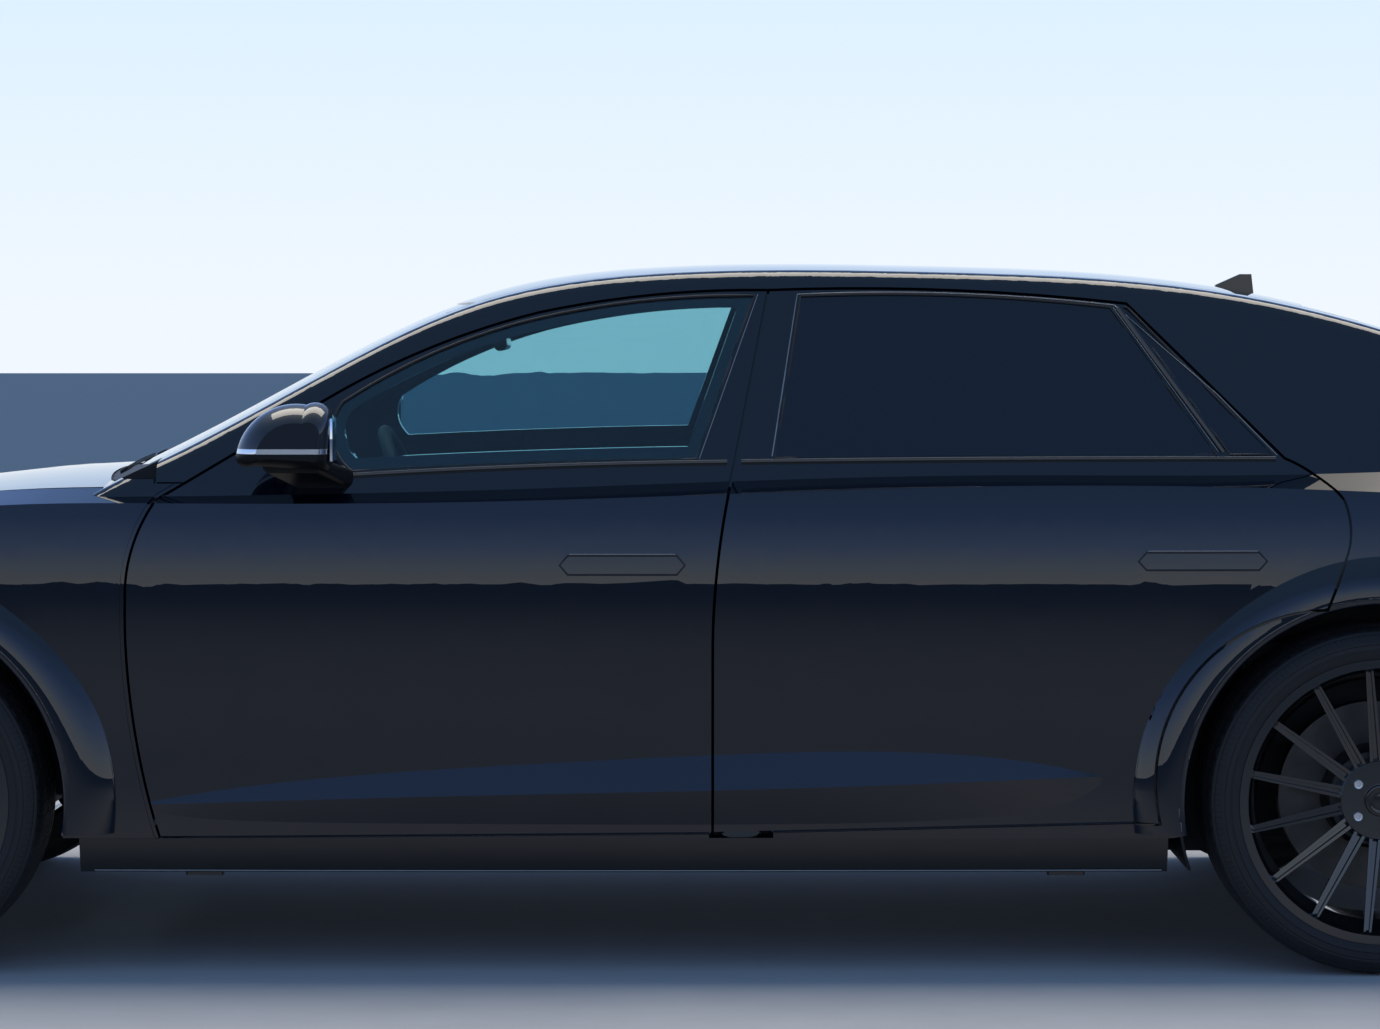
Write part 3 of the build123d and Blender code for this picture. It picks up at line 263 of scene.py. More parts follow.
FRONT_PANE = (
    (-0.748, 1.058), (-0.79, 1.12, -0.772, 1.203), (-0.515, 1.334, -0.393, 1.373),
    (-0.14, 1.418, 0.104, 1.429), (-0.021, 1.083), (-0.393, 1.074, -0.748, 1.058),
)
REAR_PANE = (
    (0.145, 1.085), (0.203, 1.428), (0.52, 1.43, 0.868, 1.404), (1.08, 1.092),
    (0.6, 1.091, 0.145, 1.085),
)
QUARTER_PANE = ((1.108, 1.092), (0.893, 1.405), (0.905, 1.402), (1.2, 1.092), (1.108, 1.092))
PANES = (
    ("front_door", "front", FRONT_PANE),
    ("rear_door", "rear", REAR_PANE),
    ("rear_door", "quarter", QUARTER_PANE),
)
SEAL_THICK = 0.006
SEAL_SUNK = 0.001
rubber_lip = Finish("rubber_lip", Roughness=0.5)
rubber_lip.set("Base Color", rubber_lip.mix(rubber_lip.noise(90.0), (0.004, 0.004, 0.005),
                                            (0.008, 0.008, 0.009)))
for side, sign in SIDES:
    for door, label, rows in PANES:
        body = f"{door}_{side}"
        seal = on_side(path_of(rows)[:-1], nodes[body], sign, -SEAL_SUNK)
        bar(f"{label}_glass_seal_{side}", body, rubber_lip, seal, SEAL_THICK, closed=True)


# Window trim. Thin satin aluminium strips that edge the rear panes, and gloss black belt
# mouldings pressed on along the foot of the windows.
satin_trim = Finish("satin_trim", Metallic=1.0, Roughness=0.28)
satin_trim.set("Base Color", satin_trim.mix(satin_trim.noise(60.0), (0.30, 0.28, 0.26),
                                            (0.40, 0.37, 0.34)))
gloss_black = Finish("gloss_black", Roughness=0.12, Specular_IOR_Level=0.35, Coat_Weight=0.6,
                     Coat_Roughness=0.03)
gloss_black.set("Base Color", gloss_black.mix(gloss_black.noise(500.0), (0.002, 0.002, 0.0028),
                                              (0.004, 0.004, 0.005)))
REAR_EDGE = (
    (0.139, 1.089), (0.196, 1.432), (0.52, 1.4345, 0.875, 1.409), (0.910, 1.407), (1.209, 1.091),
)
FRONT_EDGE = ((-0.015, 1.084), (0.111, 1.432))
BRIGHT = (
    ("rear_door", "rear_glass_trim", REAR_EDGE, 0.0026),
    ("front_door", "front_glass_trim", FRONT_EDGE, 0.0016),
)
BELTS = (
    ("front_door", "front", ((-0.745, 1.049), (-0.39, 1.066, 0.044, 1.076))),
    ("rear_door", "rear", ((0.074, 1.077), (0.6, 1.082, 1.205, 1.083))),
)
TRIM_PROUD = 0.0008
MOULDING_PROUD = 0.0012
MOULDING_THICK = 0.003
BELT_TALL = 0.009
for side, sign in SIDES:
    for door, label, rows, thick in BRIGHT:
        body = f"{door}_{side}"
        strip = on_side(path_of(rows, 0.03), nodes[body], sign, TRIM_PROUD)
        bar(f"{label}_{side}", body, satin_trim, strip, thick)
    for door, label, rows in BELTS:
        body = f"{door}_{side}"
        strip = on_side(path_of(rows, 0.03), nodes[body], sign, MOULDING_PROUD)
        bar(f"{label}_belt_moulding_{side}", body, gloss_black, strip,
            MOULDING_THICK, BELT_TALL)


# Division bar. Gloss black upright between the rear pane and the fixed quarter pane, with a
# thin bright edge; it stiffens the door frame and guides the glass.
DIVISION_LINE = ((1.093, 1.096), (0.8815, 1.402))
DIVISION_EDGE = ((1.0835, 1.099), (0.8735, 1.403))
DIVISION_WIDE = 0.012
EDGE_PROUD = 0.0022
EDGE_THICK = 0.0018
for side, sign in SIDES:
    body = f"rear_door_{side}"
    strip = on_side(path_of(DIVISION_LINE, 0.05), nodes[body], sign, MOULDING_PROUD)
    bar(f"division_bar_{side}", body, gloss_black, strip, MOULDING_THICK, DIVISION_WIDE)
    strip = on_side(path_of(DIVISION_EDGE, 0.05), nodes[body], sign, EDGE_PROUD)
    bar(f"division_trim_{side}", body, satin_trim, strip, EDGE_THICK)


# Door handles. Flush painted grips in a rubber-edged slot, with a thin satin metal line along the
# upper edge that is a painted highlight standing in for the light caught by that edge.
GRIPS = (("front_door", -0.307, -0.045, 0.866, 0.020), ("rear_door", 0.903, 1.173, 0.8735, 0.0185))
GRIP_POINT = 0.017
LIP_PROUD, LIP_THICK = 0.0004, 0.0042
HIGHLIGHT_INSET, HIGHLIGHT_RISE = 0.02, 0.003
HIGHLIGHT_PROUD, HIGHLIGHT_THICK = 0.0006, 0.0026
for side, sign in SIDES:
    for door, x0, x1, z, half in GRIPS:
        body = f"{door}_{side}"
        low, high = z - half, z + half
        ring = (
            (x0, z), (x0 + GRIP_POINT, high), (x1 - GRIP_POINT, high),
            (x1, z), (x1 - GRIP_POINT, low), (x0 + GRIP_POINT, low), (x0, z),
        )
        lip = on_side(path_of(ring, 0.03)[:-1], nodes[body], sign, LIP_PROUD)
        bar(f"{door}_handle_lip_{side}", body, rubber_lip, lip, LIP_THICK, closed=True)
        # A satin metal strip along the top of each grip: a painted highlight of the lit upper edge.
        highlight_ends = ((x0 + HIGHLIGHT_INSET, high + HIGHLIGHT_RISE), (x1 - HIGHLIGHT_INSET, high + HIGHLIGHT_RISE))
        line = on_side(path_of(highlight_ends, 0.03), nodes[body], sign, HIGHLIGHT_PROUD)
        bar(f"{door}_handle_line_{side}", body, satin_trim, line, HIGHLIGHT_THICK)


# Door mirrors. Painted shell over a bright waist strip and a black lower housing, with the
# mirror glass behind, on a foot screwed to the door.
WAIST_FOOT, WAIST_TOP = 1.102, 1.112
shell = Finish("mirror_shell", Roughness=0.3, Specular_IOR_Level=0.2, Coat_Roughness=0.008,
               Coat_IOR=1.52)
height = shell.axes()[2]
cap = height.above(WAIST_TOP, 0.0012)
waist = height.above(WAIST_FOOT, 0.0012) - cap
housing = shell.mix(cap, (0.004, 0.004, 0.0045), (0.001, 0.0026, 0.008))
shell.set("Base Color", shell.mix(waist, housing, (0.75, 0.76, 0.78)))
shell.set("Metallic", waist)
shell.set("Coat Weight", cap)
shell.set("Roughness", 0.42 - 0.3 * waist)
shell.on(*cad("mirror"))
silver = Finish("mirror_silver", Base_Color=(0.8, 0.82, 0.84), Metallic=1.0)
silver.set("Roughness", 0.02 + 0.03 * silver.noise(40.0))
MIRROR_X, MIRROR_Y, MIRROR_Z = -0.7735, 1.003, 1.131
MIRROR_GLASS = (0.005, 0.096, 0.088)
for side, sign in SIDES:
    bpy.ops.mesh.primitive_cube_add(size=1.0, location=(MIRROR_X, sign * MIRROR_Y, MIRROR_Z))
    bpy.ops.transform.resize(value=MIRROR_GLASS)
    bpy.ops.object.mode_set(mode="EDIT")
    bpy.ops.mesh.select_all(action="SELECT")
    bpy.ops.mesh.bevel(offset=0.0018, segments=2)
    bpy.ops.object.mode_set(mode="OBJECT")
    settle(f"mirror_glass_{side}", f"front_door_{side}", silver)


# Tyres. Black rubber with tread channels, shoulder blocks and a rim protector rib, moulded
# in one ring and seated on the rim.
def lathe(profile, centre, steps=96, axis=(0.0, 1.0, 0.0), out=(1.0, 0.0, 0.0)):
    """Spins profile points (radius, along) once round an axis through centre."""
    bpy.ops.object.select_all(action="DESELECT")
    bpy.ops.mesh.primitive_plane_add(size=0.001, location=(0, 0, 0))
    bpy.ops.object.mode_set(mode="EDIT")
    bpy.ops.mesh.select_all(action="SELECT")
    bpy.ops.mesh.merge(type="CENTER")
    here = Vector((0.0, 0.0, 0.0))
    for index, (radius, along) in enumerate(profile):
        there = Vector(centre) + radius * Vector(out) + along * Vector(axis)
        step = tuple(there - here)
        if index == 0:
            bpy.ops.transform.translate(value=step)
        else:
            bpy.ops.mesh.extrude_vertices_move(TRANSFORM_OT_translate={"value": step})
        here = there
    bpy.ops.mesh.select_all(action="SELECT")
    bpy.ops.mesh.spin(steps=steps, angle=math.tau, center=centre, axis=axis)
    bpy.ops.mesh.select_all(action="SELECT")
    bpy.ops.mesh.remove_doubles(threshold=0.00002)
    bpy.ops.mesh.normals_make_consistent(inside=False)
    bpy.ops.object.mode_set(mode="OBJECT")


AXLES = (("front", -1.7625), ("rear", 1.4175))
WHEEL_Y, WHEEL_Z = 0.8155, 0.368
# Half section of a tyre as (radius, distance from its middle): bead and side wall, shoulder, tread.
SIDE_WALL = (
    (0.2872, 0.1085), (0.3008, 0.1152), (0.3008, 0.1242), (0.3135, 0.1315), (0.3165, 0.1322),
    (0.3182, 0.1308), (0.3200, 0.1308), (0.3222, 0.1322), (0.3310, 0.1318), (0.3325, 0.1300),
    (0.3345, 0.1300), (0.3362, 0.1302), (0.3460, 0.1262), (0.3520, 0.1222), (0.3528, 0.1205),
)
SHOULDER = ((0.3546, 0.1198), (0.3590, 0.1164), (0.3655, 0.0945), (0.3670, 0.0800), (0.3672, 0.0765))
TREAD = (
    (0.3622, 0.0755), (0.3622, 0.0725), (0.3676, 0.0715), (0.3680, 0.0545), (0.3612, 0.0535),
    (0.3612, 0.0465), (0.3680, 0.0455), (0.3680, 0.0225), (0.3612, 0.0215), (0.3612, 0.0145),
    (0.3680, 0.0135), (0.3680, 0.0),
)
half_tyre = SIDE_WALL + SHOULDER + TREAD
tyre_section = half_tyre + tuple((r, -y) for r, y in reversed(half_tyre[:-1])) + (half_tyre[0],)
BLOCK_COUNT, RIB_COUNT = 76, 180
BLOCKS_FROM = 0.3600
RIBS_FROM, RIBS_TO = 0.338, 0.351
for end, x in AXLES:
    tyre_rubber = Finish(f"{end}_tyre_rubber", Specular_IOR_Level=0.4)
    px, _, pz = tyre_rubber.axes()
    dx, dz = px - x, pz - WHEEL_Z
    angle = dx.math("ARCTAN2", dx, dz)
    radius = dx.math("SQRT", dx * dx + dz * dz)
    blocks = angle.stripes(math.tau / BLOCK_COUNT, 0.78, 0.1) * radius.above(BLOCKS_FROM, 0.002)
    ribs = angle.stripes(math.tau / RIB_COUNT, 0.5, 0.4)
    ribs = ribs * radius.above(RIBS_FROM) * (1 - radius.above(RIBS_TO))
    grime = tyre_rubber.noise(35.0, 4.0)
    tyre_rubber.set("Base Color", tyre_rubber.mix(grime, (0.0045, 0.0045, 0.005), (0.014, 0.014, 0.015)))
    tyre_rubber.set("Roughness", 0.52 + 0.25 * grime)
    tyre_rubber.bump(blocks + ribs * 0.25 + tyre_rubber.noise(700.0) * 0.05, 0.9, 0.003)
    for side, sign in SIDES:
        lathe(tyre_section, (x, sign * WHEEL_Y, WHEEL_Z), 120)
        piece = settle(f"{end}_tread_tyre_{side}", f"{end}_wheel_{side}", tyre_rubber, 28)
        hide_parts(f"{end}_tyre_{side}")


# Rims. Forged alloy in gloss black with fifteen channelled spokes; a centre cap snaps in
# the hub bore, five bright bolts clamp the rim to the hub, and a valve stands at its edge.
def copy_of(piece, name, body, shift):
    """Copy of a piece with its own mesh, moved by shift."""
    other = piece.copy()
    other.data = piece.data.copy()
    other.name = name
    bpy.context.collection.objects.link(other)
    other.data.transform(Matrix.Translation(shift))
    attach(other, body)
    return other


rim_black = Finish("rim_black", Roughness=0.16, Specular_IOR_Level=0.5, Coat_Weight=0.8,
                   Coat_Roughness=0.03)
rim_black.set("Base Color", rim_black.mix(rim_black.noise(220.0), (0.003, 0.003, 0.0036),
                                          (0.006, 0.006, 0.007)))
rim_black.on(*cad("front_rim", "rear_rim"))
bolt_steel = Finish("bolt_steel", Metallic=1.0)
bolt_steel.set("Base Color", bolt_steel.mix(bolt_steel.noise(300.0), (0.40, 0.41, 0.43),
                                            (0.62, 0.63, 0.65)))
bolt_steel.set("Roughness", 0.22 + 0.2 * bolt_steel.noise(150.0))
# Half sections as (radius, depth into the wheel).
CAP = (
    (0.0, -0.0065), (0.014, -0.0062), (0.0235, -0.0050), (0.0255, -0.0058), (0.0315, -0.0045),
    (0.0335, -0.0015), (0.0335, 0.004), (0.0, 0.004),
)
BOLT = (
    (0.0, -0.0040), (0.0048, -0.0040), (0.0052, -0.0095), (0.0086, -0.0100), (0.0098, -0.0088),
    (0.0100, 0.003), (0.0, 0.003),
)
VALVE = ((0.0, -0.022), (0.0032, -0.021), (0.0036, -0.008), (0.0050, -0.006), (0.0050, 0.02), (0.0, 0.02))
CAP_SEAT, BOLT_SEAT, VALVE_SEAT = 0.095, 0.089, 0.098
BOLT_COUNT, BOLT_CIRCLE = 5, 0.058
VALVE_RADIUS, VALVE_TURN = 0.262, 0.21


def outward(section, sign):
    """Half section turned to face out of the car's side."""
    return [(r, -sign * depth) for r, depth in section]


for end, x in AXLES:
    for side, sign in SIDES:
        wheel = f"{end}_wheel_{side}"
        lathe(outward(CAP, sign), (x, sign * (WHEEL_Y + CAP_SEAT), WHEEL_Z), 40)
        settle(f"{end}_centre_cap_{side}", wheel, gloss_black)
        lathe(outward(BOLT, sign), (x + BOLT_CIRCLE, sign * (WHEEL_Y + BOLT_SEAT), WHEEL_Z), 18)
        first = settle(f"{end}_wheel_bolt_1_{side}", wheel, bolt_steel)
        for index in range(1, BOLT_COUNT):
            turn = math.tau * index / BOLT_COUNT
            shift = (BOLT_CIRCLE * (math.cos(turn) - 1), 0.0, BOLT_CIRCLE * math.sin(turn))
            copy_of(first, f"{end}_wheel_bolt_{index + 1}_{side}", wheel, shift)
        across, down = VALVE_RADIUS * math.cos(VALVE_TURN), VALVE_RADIUS * math.sin(VALVE_TURN)
        lathe(outward(VALVE, sign), (x + across, sign * (WHEEL_Y + VALVE_SEAT), WHEEL_Z - down), 14)
        settle(f"{end}_valve_{side}", wheel, rubber_lip)


# Brake discs, suspension and floor pan. Iron discs darkened by heat, and carriers with their
# calipers, arms, crossmembers and pan under black chassis coating.
disc_metal = Finish("disc_metal", Metallic=1.0)
disc_metal.set("Base Color", disc_metal.mix(disc_metal.noise(14.0, 3.0), (0.035, 0.034, 0.033),
                                            (0.085, 0.083, 0.08)))
disc_metal.set("Roughness", 0.3 + 0.25 * disc_metal.noise(60.0))
disc_metal.on(*cad("front_brake_disc", "rear_brake_disc"))
primer = Finish("chassis_black", Specular_IOR_Level=0.4)
primer.set("Base Color", primer.mix(primer.noise(18.0, 4.0), (0.008, 0.008, 0.0085),
                                    (0.022, 0.021, 0.020)))
primer.set("Roughness", 0.5 + 0.3 * primer.noise(40.0))
primer.bump(primer.noise(160.0), 0.3, 0.0006)
primer.on(*cad("floor", "front_suspension", "rear_suspension", "front_knuckle"))


# Engine and exhaust. A plain cast block, and an aluminised steel silencer with its hanger
# and two tailpipes.
cast = Finish("cast_metal", Metallic=0.9)
cast.set("Base Color", cast.mix(cast.noise(30.0, 3.0), (0.12, 0.12, 0.12), (0.26, 0.26, 0.27)))
cast.set("Roughness", 0.45 + 0.25 * cast.noise(80.0))
cast.bump(cast.noise(260.0), 0.4, 0.0008)
cast.on(*cad("engine"))
steel_pipe = Finish("steel_pipe", Metallic=1.0)
steel_pipe.set("Base Color", steel_pipe.mix(steel_pipe.noise(20.0), (0.22, 0.21, 0.20),
                                            (0.42, 0.41, 0.40)))
steel_pipe.set("Roughness", 0.25 + 0.25 * steel_pipe.noise(70.0))
steel_pipe.on(*cad("exhaust"))


# Black trim. Cowl panel, wipers, arch liners and tank in grained polypropylene, and the
# grille and sill covers in gloss black, all clipped or strapped on.
plastic = Finish("black_plastic", Specular_IOR_Level=0.35)
plastic.set("Base Color", plastic.mix(plastic.noise(25.0), (0.005, 0.005, 0.0055),
                                      (0.011, 0.011, 0.012)))
plastic.set("Roughness", 0.48 + 0.15 * plastic.noise(90.0))
plastic.bump(plastic.noise(900.0), 0.35, 0.0004)
plastic.on(*cad("cowl", "wipers", "wheel_arch_liners", "fuel_tank"))
gloss_black.on(*cad("grille", "side_sills"))


# Bumper inserts. Black panels clipped in the lower bumper covers: an intake in front with
# level slats, and a diffuser with upright fins behind.
def panel_on(name, target, y0, y1, z0, z1, way, thick):
    """Grid laid on the front (way -1) or rear (way 1) of a CAD node and given its thickness."""
    centre = (way * 2.60, (y0 + y1) / 2, (z0 + z1) / 2)
    bpy.ops.object.select_all(action="DESELECT")
    bpy.ops.mesh.primitive_grid_add(x_subdivisions=12, y_subdivisions=48, size=1.0, location=centre,
                                    rotation=(0, math.radians(90), 0))
    piece = bpy.context.object
    piece.scale = (z1 - z0, y1 - y0, 1.0)
    bpy.ops.object.transform_apply(location=True, rotation=True, scale=True)
    wrap = piece.modifiers.new("lay", "SHRINKWRAP")
    wrap.target = target
    wrap.wrap_method = "PROJECT"
    wrap.use_project_x = True
    wrap.use_negative_direction = True
    wrap.use_positive_direction = True
    bpy.ops.object.modifier_apply(modifier="lay")
    wall = piece.modifiers.new("wall", "SOLIDIFY")
    wall.thickness = thick
    wall.offset = 0.0
    bpy.ops.object.modifier_apply(modifier="wall")
    bpy.ops.object.mode_set(mode="EDIT")
    bpy.ops.mesh.select_all(action="SELECT")
    bpy.ops.mesh.normals_make_consistent(inside=False)
    bpy.ops.object.mode_set(mode="OBJECT")
    return settle(name, "body", plastic)


def on_end(path, target, way, proud=0.0):
    """Points (y, z) laid on the front (way -1) or rear (way 1) of a CAD node."""
    laid = []
    for y, z in path:
        hit, place, _, _ = target.ray_cast((way * 3.2, y, z), (-way, 0, 0))
        if hit:
            laid.append((place.x + way * proud, y, z))
    return laid


front_cover, rear_cover = nodes["front_bumper"], nodes["rear_bumper"]
PANEL_THICK = 0.006
panel_on("lower_intake", front_cover, -0.60, 0.60, 0.245, 0.345, -1, PANEL_THICK)
panel_on("rear_diffuser", rear_cover, -0.62, 0.62, 0.225, 0.395, 1, PANEL_THICK)
SLAT_COUNT, SLAT_FOOT, SLAT_PITCH = 4, 0.258, 0.025
SLAT_PROUD, SLAT_THICK, SLAT_TALL = 0.005, 0.004, 0.006
for index in range(SLAT_COUNT):
    z = SLAT_FOOT + SLAT_PITCH * index
    slat = on_end([(y / 20, z) for y in range(-12, 13)], front_cover, -1, SLAT_PROUD)
    bar(f"intake_slat_{index + 1}", "body", gloss_black, slat, SLAT_THICK, SLAT_TALL)
INTAKE_EDGE = (
    (-0.62, 0.235), (-0.65, 0.30), (-0.62, 0.358), (0.62, 0.358), (0.65, 0.30), (0.62, 0.235),
    (-0.62, 0.235),
)
frame_line = on_end(path_of(INTAKE_EDGE, 0.05)[:-1], front_cover, -1, 0.002)
bar("intake_frame", "body", satin_trim, frame_line, 0.006, closed=True)
FIN_FOOT, FIN_STEP, FIN_THICK = 0.235, 0.0175, 0.008
for index, y in enumerate((-0.24, -0.12, 0.0, 0.12, 0.24)):
    fin = on_end([(y, FIN_FOOT + FIN_STEP * k) for k in range(9)], rear_cover, 1, FIN_THICK)
    bar(f"diffuser_fin_{index + 1}", "body", plastic, fin, FIN_THICK)


# Grille frame. Satin trim strip that follows the edge of the grille opening in the bumper
# cover, clipped in from behind.
GRILLE_EDGE = ((0.0, 0.418), (0.402, 0.428), (0.433, 0.50), (0.403, 0.692), (0.0, 0.717))
GRILLE_MIDDLE = 0.567
FRAME_GROWTH = 1.012
FRAME_THICK = 0.006
FRAME_SUNK = 0.0035
half_edge = path_of(GRILLE_EDGE, 0.03)
edge = half_edge + [(-y, z) for y, z in reversed(half_edge[1:-1])]
edge = [(y * FRAME_GROWTH, GRILLE_MIDDLE + (z - GRILLE_MIDDLE) * FRAME_GROWTH) for y, z in edge]
frame_line = on_end(edge, front_cover, -1, -FRAME_SUNK)
bar("grille_frame", "body", satin_trim, frame_line, FRAME_THICK, closed=True)


# Headlamps. Dark ribbed covers, each with three projector lenses and a slim daytime running
# strip set on it.
lamp_cover = Finish("lamp_cover", Roughness=0.06, Coat_Weight=1.0, Coat_Roughness=0.01)
cover_ribs = lamp_cover.axes()[2].stripes(0.014, 0.55, 0.2)
lamp_cover.set("Base Color", lamp_cover.mix(cover_ribs, (0.006, 0.0065, 0.008), (0.018, 0.02, 0.024)))
lamp_cover.on(*cad("headlamps"))
lens_glass = Finish("lens_glass", Base_Color=(0.55, 0.62, 0.70), Roughness=0.04, Coat_Weight=1.0,
                    Coat_Roughness=0.01)
lens_glass.set("Metallic", 0.55 + 0.1 * lens_glass.noise(50.0))
strip_white = Finish("running_strip", Base_Color=(0.85, 0.88, 0.92), Roughness=0.2,
                     Emission_Strength=0.35)
strip_white.set("Emission Color", strip_white.mix(strip_white.noise(30.0), (0.8, 0.86, 0.95),
                                                  (0.9, 0.94, 1.0)))
LENS = (
    (0.0, 0.010), (0.008, 0.0092), (0.015, 0.0062), (0.019, 0.0015), (0.0205, 0.004),
    (0.0235, 0.004), (0.025, 0.0), (0.025, -0.01), (0.0, -0.01),
)
LENS_SUNK = 0.002
PROJECTORS = ((0.640, 0.712), (0.705, 0.718), (0.770, 0.724))
RUNNING_LINE = ((0.585, 0.741), (0.76, 0.765), (0.872, 0.763))
RUNNING_PROUD, RUNNING_THICK = 0.001, 0.006
for side, sign in SIDES:
    for index, (y, z) in enumerate(PROJECTORS):
        x = on_end([(sign * y, z)], nodes["headlamps"], -1)[0][0] + LENS_SUNK
        lathe(LENS, (x, sign * y, z), 28, axis=(-1.0, 0.0, 0.0), out=(0.0, 1.0, 0.0))
        settle(f"projector_{index + 1}_{side}", "body", lens_glass)
    line = [(sign * y, z) for y, z in path_of(RUNNING_LINE, 0.02)]
    strip = on_end(line, nodes["headlamps"], -1, RUNNING_PROUD)
    bar(f"running_light_{side}", "body", strip_white, strip, RUNNING_THICK)


# Tail lamps. Red ribbed lenses with a brighter band, joined by a slim light bar across the
# boot lid, and two reflectors in the lower bumper.
BAND_FOOT, BAND_TOP = 0.905, 0.925
red_lens = Finish("red_lens", Roughness=0.07, Coat_Weight=1.0, Coat_Roughness=0.01)
_, ty, tz = red_lens.axes()
ribs = ty.stripes(0.011, 0.5, 0.3)
band = tz.above(BAND_FOOT, 0.002) - tz.above(BAND_TOP, 0.002)
ribbed = red_lens.mix(ribs, (0.10, 0.002, 0.003), (0.19, 0.004, 0.006))
red_lens.set("Base Color", red_lens.mix(band, ribbed, (0.62, 0.02, 0.02)))
red_lens.on(*cad("tail_lamps"))
lid_line = on_end([(y / 40, BAND_FOOT) for y in range(-25, 26)], nodes["boot_lid"], 1, 0.001)
bar("tail_light_bar", "boot_lid", red_lens, lid_line, 0.004, 0.016)
REFLECTOR_Y, REFLECTOR_Z = 0.50, 0.44
for side, sign in SIDES:
    line = [(sign * (REFLECTOR_Y + 0.02 * k), REFLECTOR_Z) for k in range(10)]
    bar(f"rear_reflector_{side}", "body", red_lens, on_end(line, rear_cover, 1, 0.001),
        0.004, 0.012)


# Number plates. Blank pressed aluminium plates in black holders, screwed on at the boot lid
# and below the grille.
def slab(name, body, finish, centre, size, edge, turn=0.0, segments=3):
    """Block with rounded edges, leaned about the car's cross axis."""
    bpy.ops.object.select_all(action="DESELECT")
    bpy.ops.mesh.primitive_cube_add(size=1.0, location=centre, rotation=(0, turn, 0))
    bpy.context.object.scale = size
    bpy.ops.object.transform_apply(location=True, rotation=True, scale=True)
    bpy.ops.object.mode_set(mode="EDIT")
    bpy.ops.mesh.select_all(action="SELECT")
    bpy.ops.mesh.bevel(offset=edge, segments=segments)
    bpy.ops.object.mode_set(mode="OBJECT")
    return settle(name, body, finish)


plate_white = Finish("plate_white", Coat_Weight=0.4, Coat_Roughness=0.2)
plate_white.set("Base Color", plate_white.mix(plate_white.noise(40.0), (0.62, 0.63, 0.62),
                                              (0.70, 0.71, 0.70)))
plate_white.set("Roughness", 0.35 + 0.1 * plate_white.noise(120.0))
HOLDER_WIDE, HOLDER_TALL = 0.532, 0.124
PLATE_WIDE, PLATE_TALL = 0.520, 0.112
PLATE_EDGE = 0.0011
# Columns: end, body, what carries the plate, way it faces, height, extra distance from the carrier.
PLATES = (
    ("front", "body", front_cover, -1, 0.388, 0.003),
    ("rear", "boot_lid", nodes["boot_lid"], 1, 0.800, 0.0),
)
PLATE_YS = (-0.25, -0.15, -0.05, 0.0, 0.05, 0.15, 0.25)
PLATE_DZS = (-0.06, -0.03, 0.0, 0.03, 0.06)
for end, body, target, way, z, back in PLATES:
    spots = on_end([(y, z + dz) for y in PLATE_YS for dz in PLATE_DZS], target, way)
    face = max(way * spot[0] for spot in spots) * way + way * back
    rear = min(way * spot[0] for spot in spots) * way
    x0, x1 = rear - way * 0.004, face + way * 0.003
    slab(f"{end}_plate_holder", body, plastic, ((x0 + x1) / 2, 0.0, z),
         (abs(x1 - x0), HOLDER_WIDE, HOLDER_TALL), PLATE_EDGE, segments=2)
    x0, x1 = face + way * 0.002, face + way * 0.0045
    slab(f"{end}_number_plate", body, plate_white, ((x0 + x1) / 2, 0.0, z),
         (abs(x1 - x0), PLATE_WIDE, PLATE_TALL), PLATE_EDGE, segments=2)


# Sill strips and fuel flap. A thin bright strip edges the foot of each sill, and a round
# flap in the right quarter panel covers the filler.
SILL_Z, STRIP_Z, STRIP_THICK = 0.224, 0.2185, 0.003
for side, sign in SIDES:
    foot = on_side([(x / 100, SILL_Z) for x in range(-129, 97, 3)], nodes["side_sills"], sign)
    foot = [(x, y, STRIP_Z) for x, y, _ in foot]
    bar(f"sill_strip_{side}", "body", satin_trim, foot, STRIP_THICK)
FLAP_X, FLAP_Z, FLAP_RADIUS, FLAP_POINTS = 1.86, 0.900, 0.085, 24
turns = [index / FLAP_POINTS * math.tau for index in range(FLAP_POINTS)]
flap = [(FLAP_X + FLAP_RADIUS * math.cos(a), FLAP_Z + FLAP_RADIUS * math.sin(a)) for a in turns]
flap_line = on_side(flap, nodes["side_frame_right"], 1, -0.0004)
bar("fuel_flap_gap", "body", rubber_lip, flap_line, 0.004, closed=True)


# Seats. Foam on steel frames in dark grained leather with fluted centres, two in front and a
# bench behind.
FLUTE_PITCH = 0.055
leather = Finish("dark_leather", Specular_IOR_Level=0.45)
across = leather.axes()[1]
grain = leather.node("ShaderNodeTexVoronoi", Vector=leather.spot(), Scale=420.0)
leather.set("Base Color", leather.mix(leather.noise(7.0, 3.0), (0.016, 0.015, 0.0145),
                                      (0.030, 0.028, 0.027)))
leather.set("Roughness", 0.42 + 0.2 * leather.noise(30.0))
leather.bump(across.stripes(FLUTE_PITCH, 0.82, 0.25) + grain * 0.12, 0.7, 0.003)
leather.on(*cad("front_seats", "rear_seat"))


# Dashboard and steering wheel. Soft-touch mouldings with a fine grain, glass displays for
# the driver and the centre, four vents and the mirror on its stem.
soft_trim = Finish("soft_trim", Specular_IOR_Level=0.35)
soft_grain = soft_trim.node("ShaderNodeTexVoronoi", Vector=soft_trim.spot(), Scale=600.0)
soft_trim.set("Base Color", soft_trim.mix(soft_trim.noise(9.0, 3.0), (0.012, 0.012, 0.0125),
                                          (0.022, 0.022, 0.023)))
soft_trim.set("Roughness", 0.55 + 0.15 * soft_trim.noise(40.0))
soft_trim.bump(soft_grain, 0.5, 0.0006)
soft_trim.on(*cad("dashboard", "steering_wheel"))
display = Finish("display_glass", Roughness=0.05, Coat_Weight=1.0, Coat_Roughness=0.01)
display.set("Base Color", display.mix(display.noise(6.0), (0.004, 0.006, 0.010), (0.010, 0.016, 0.026)))
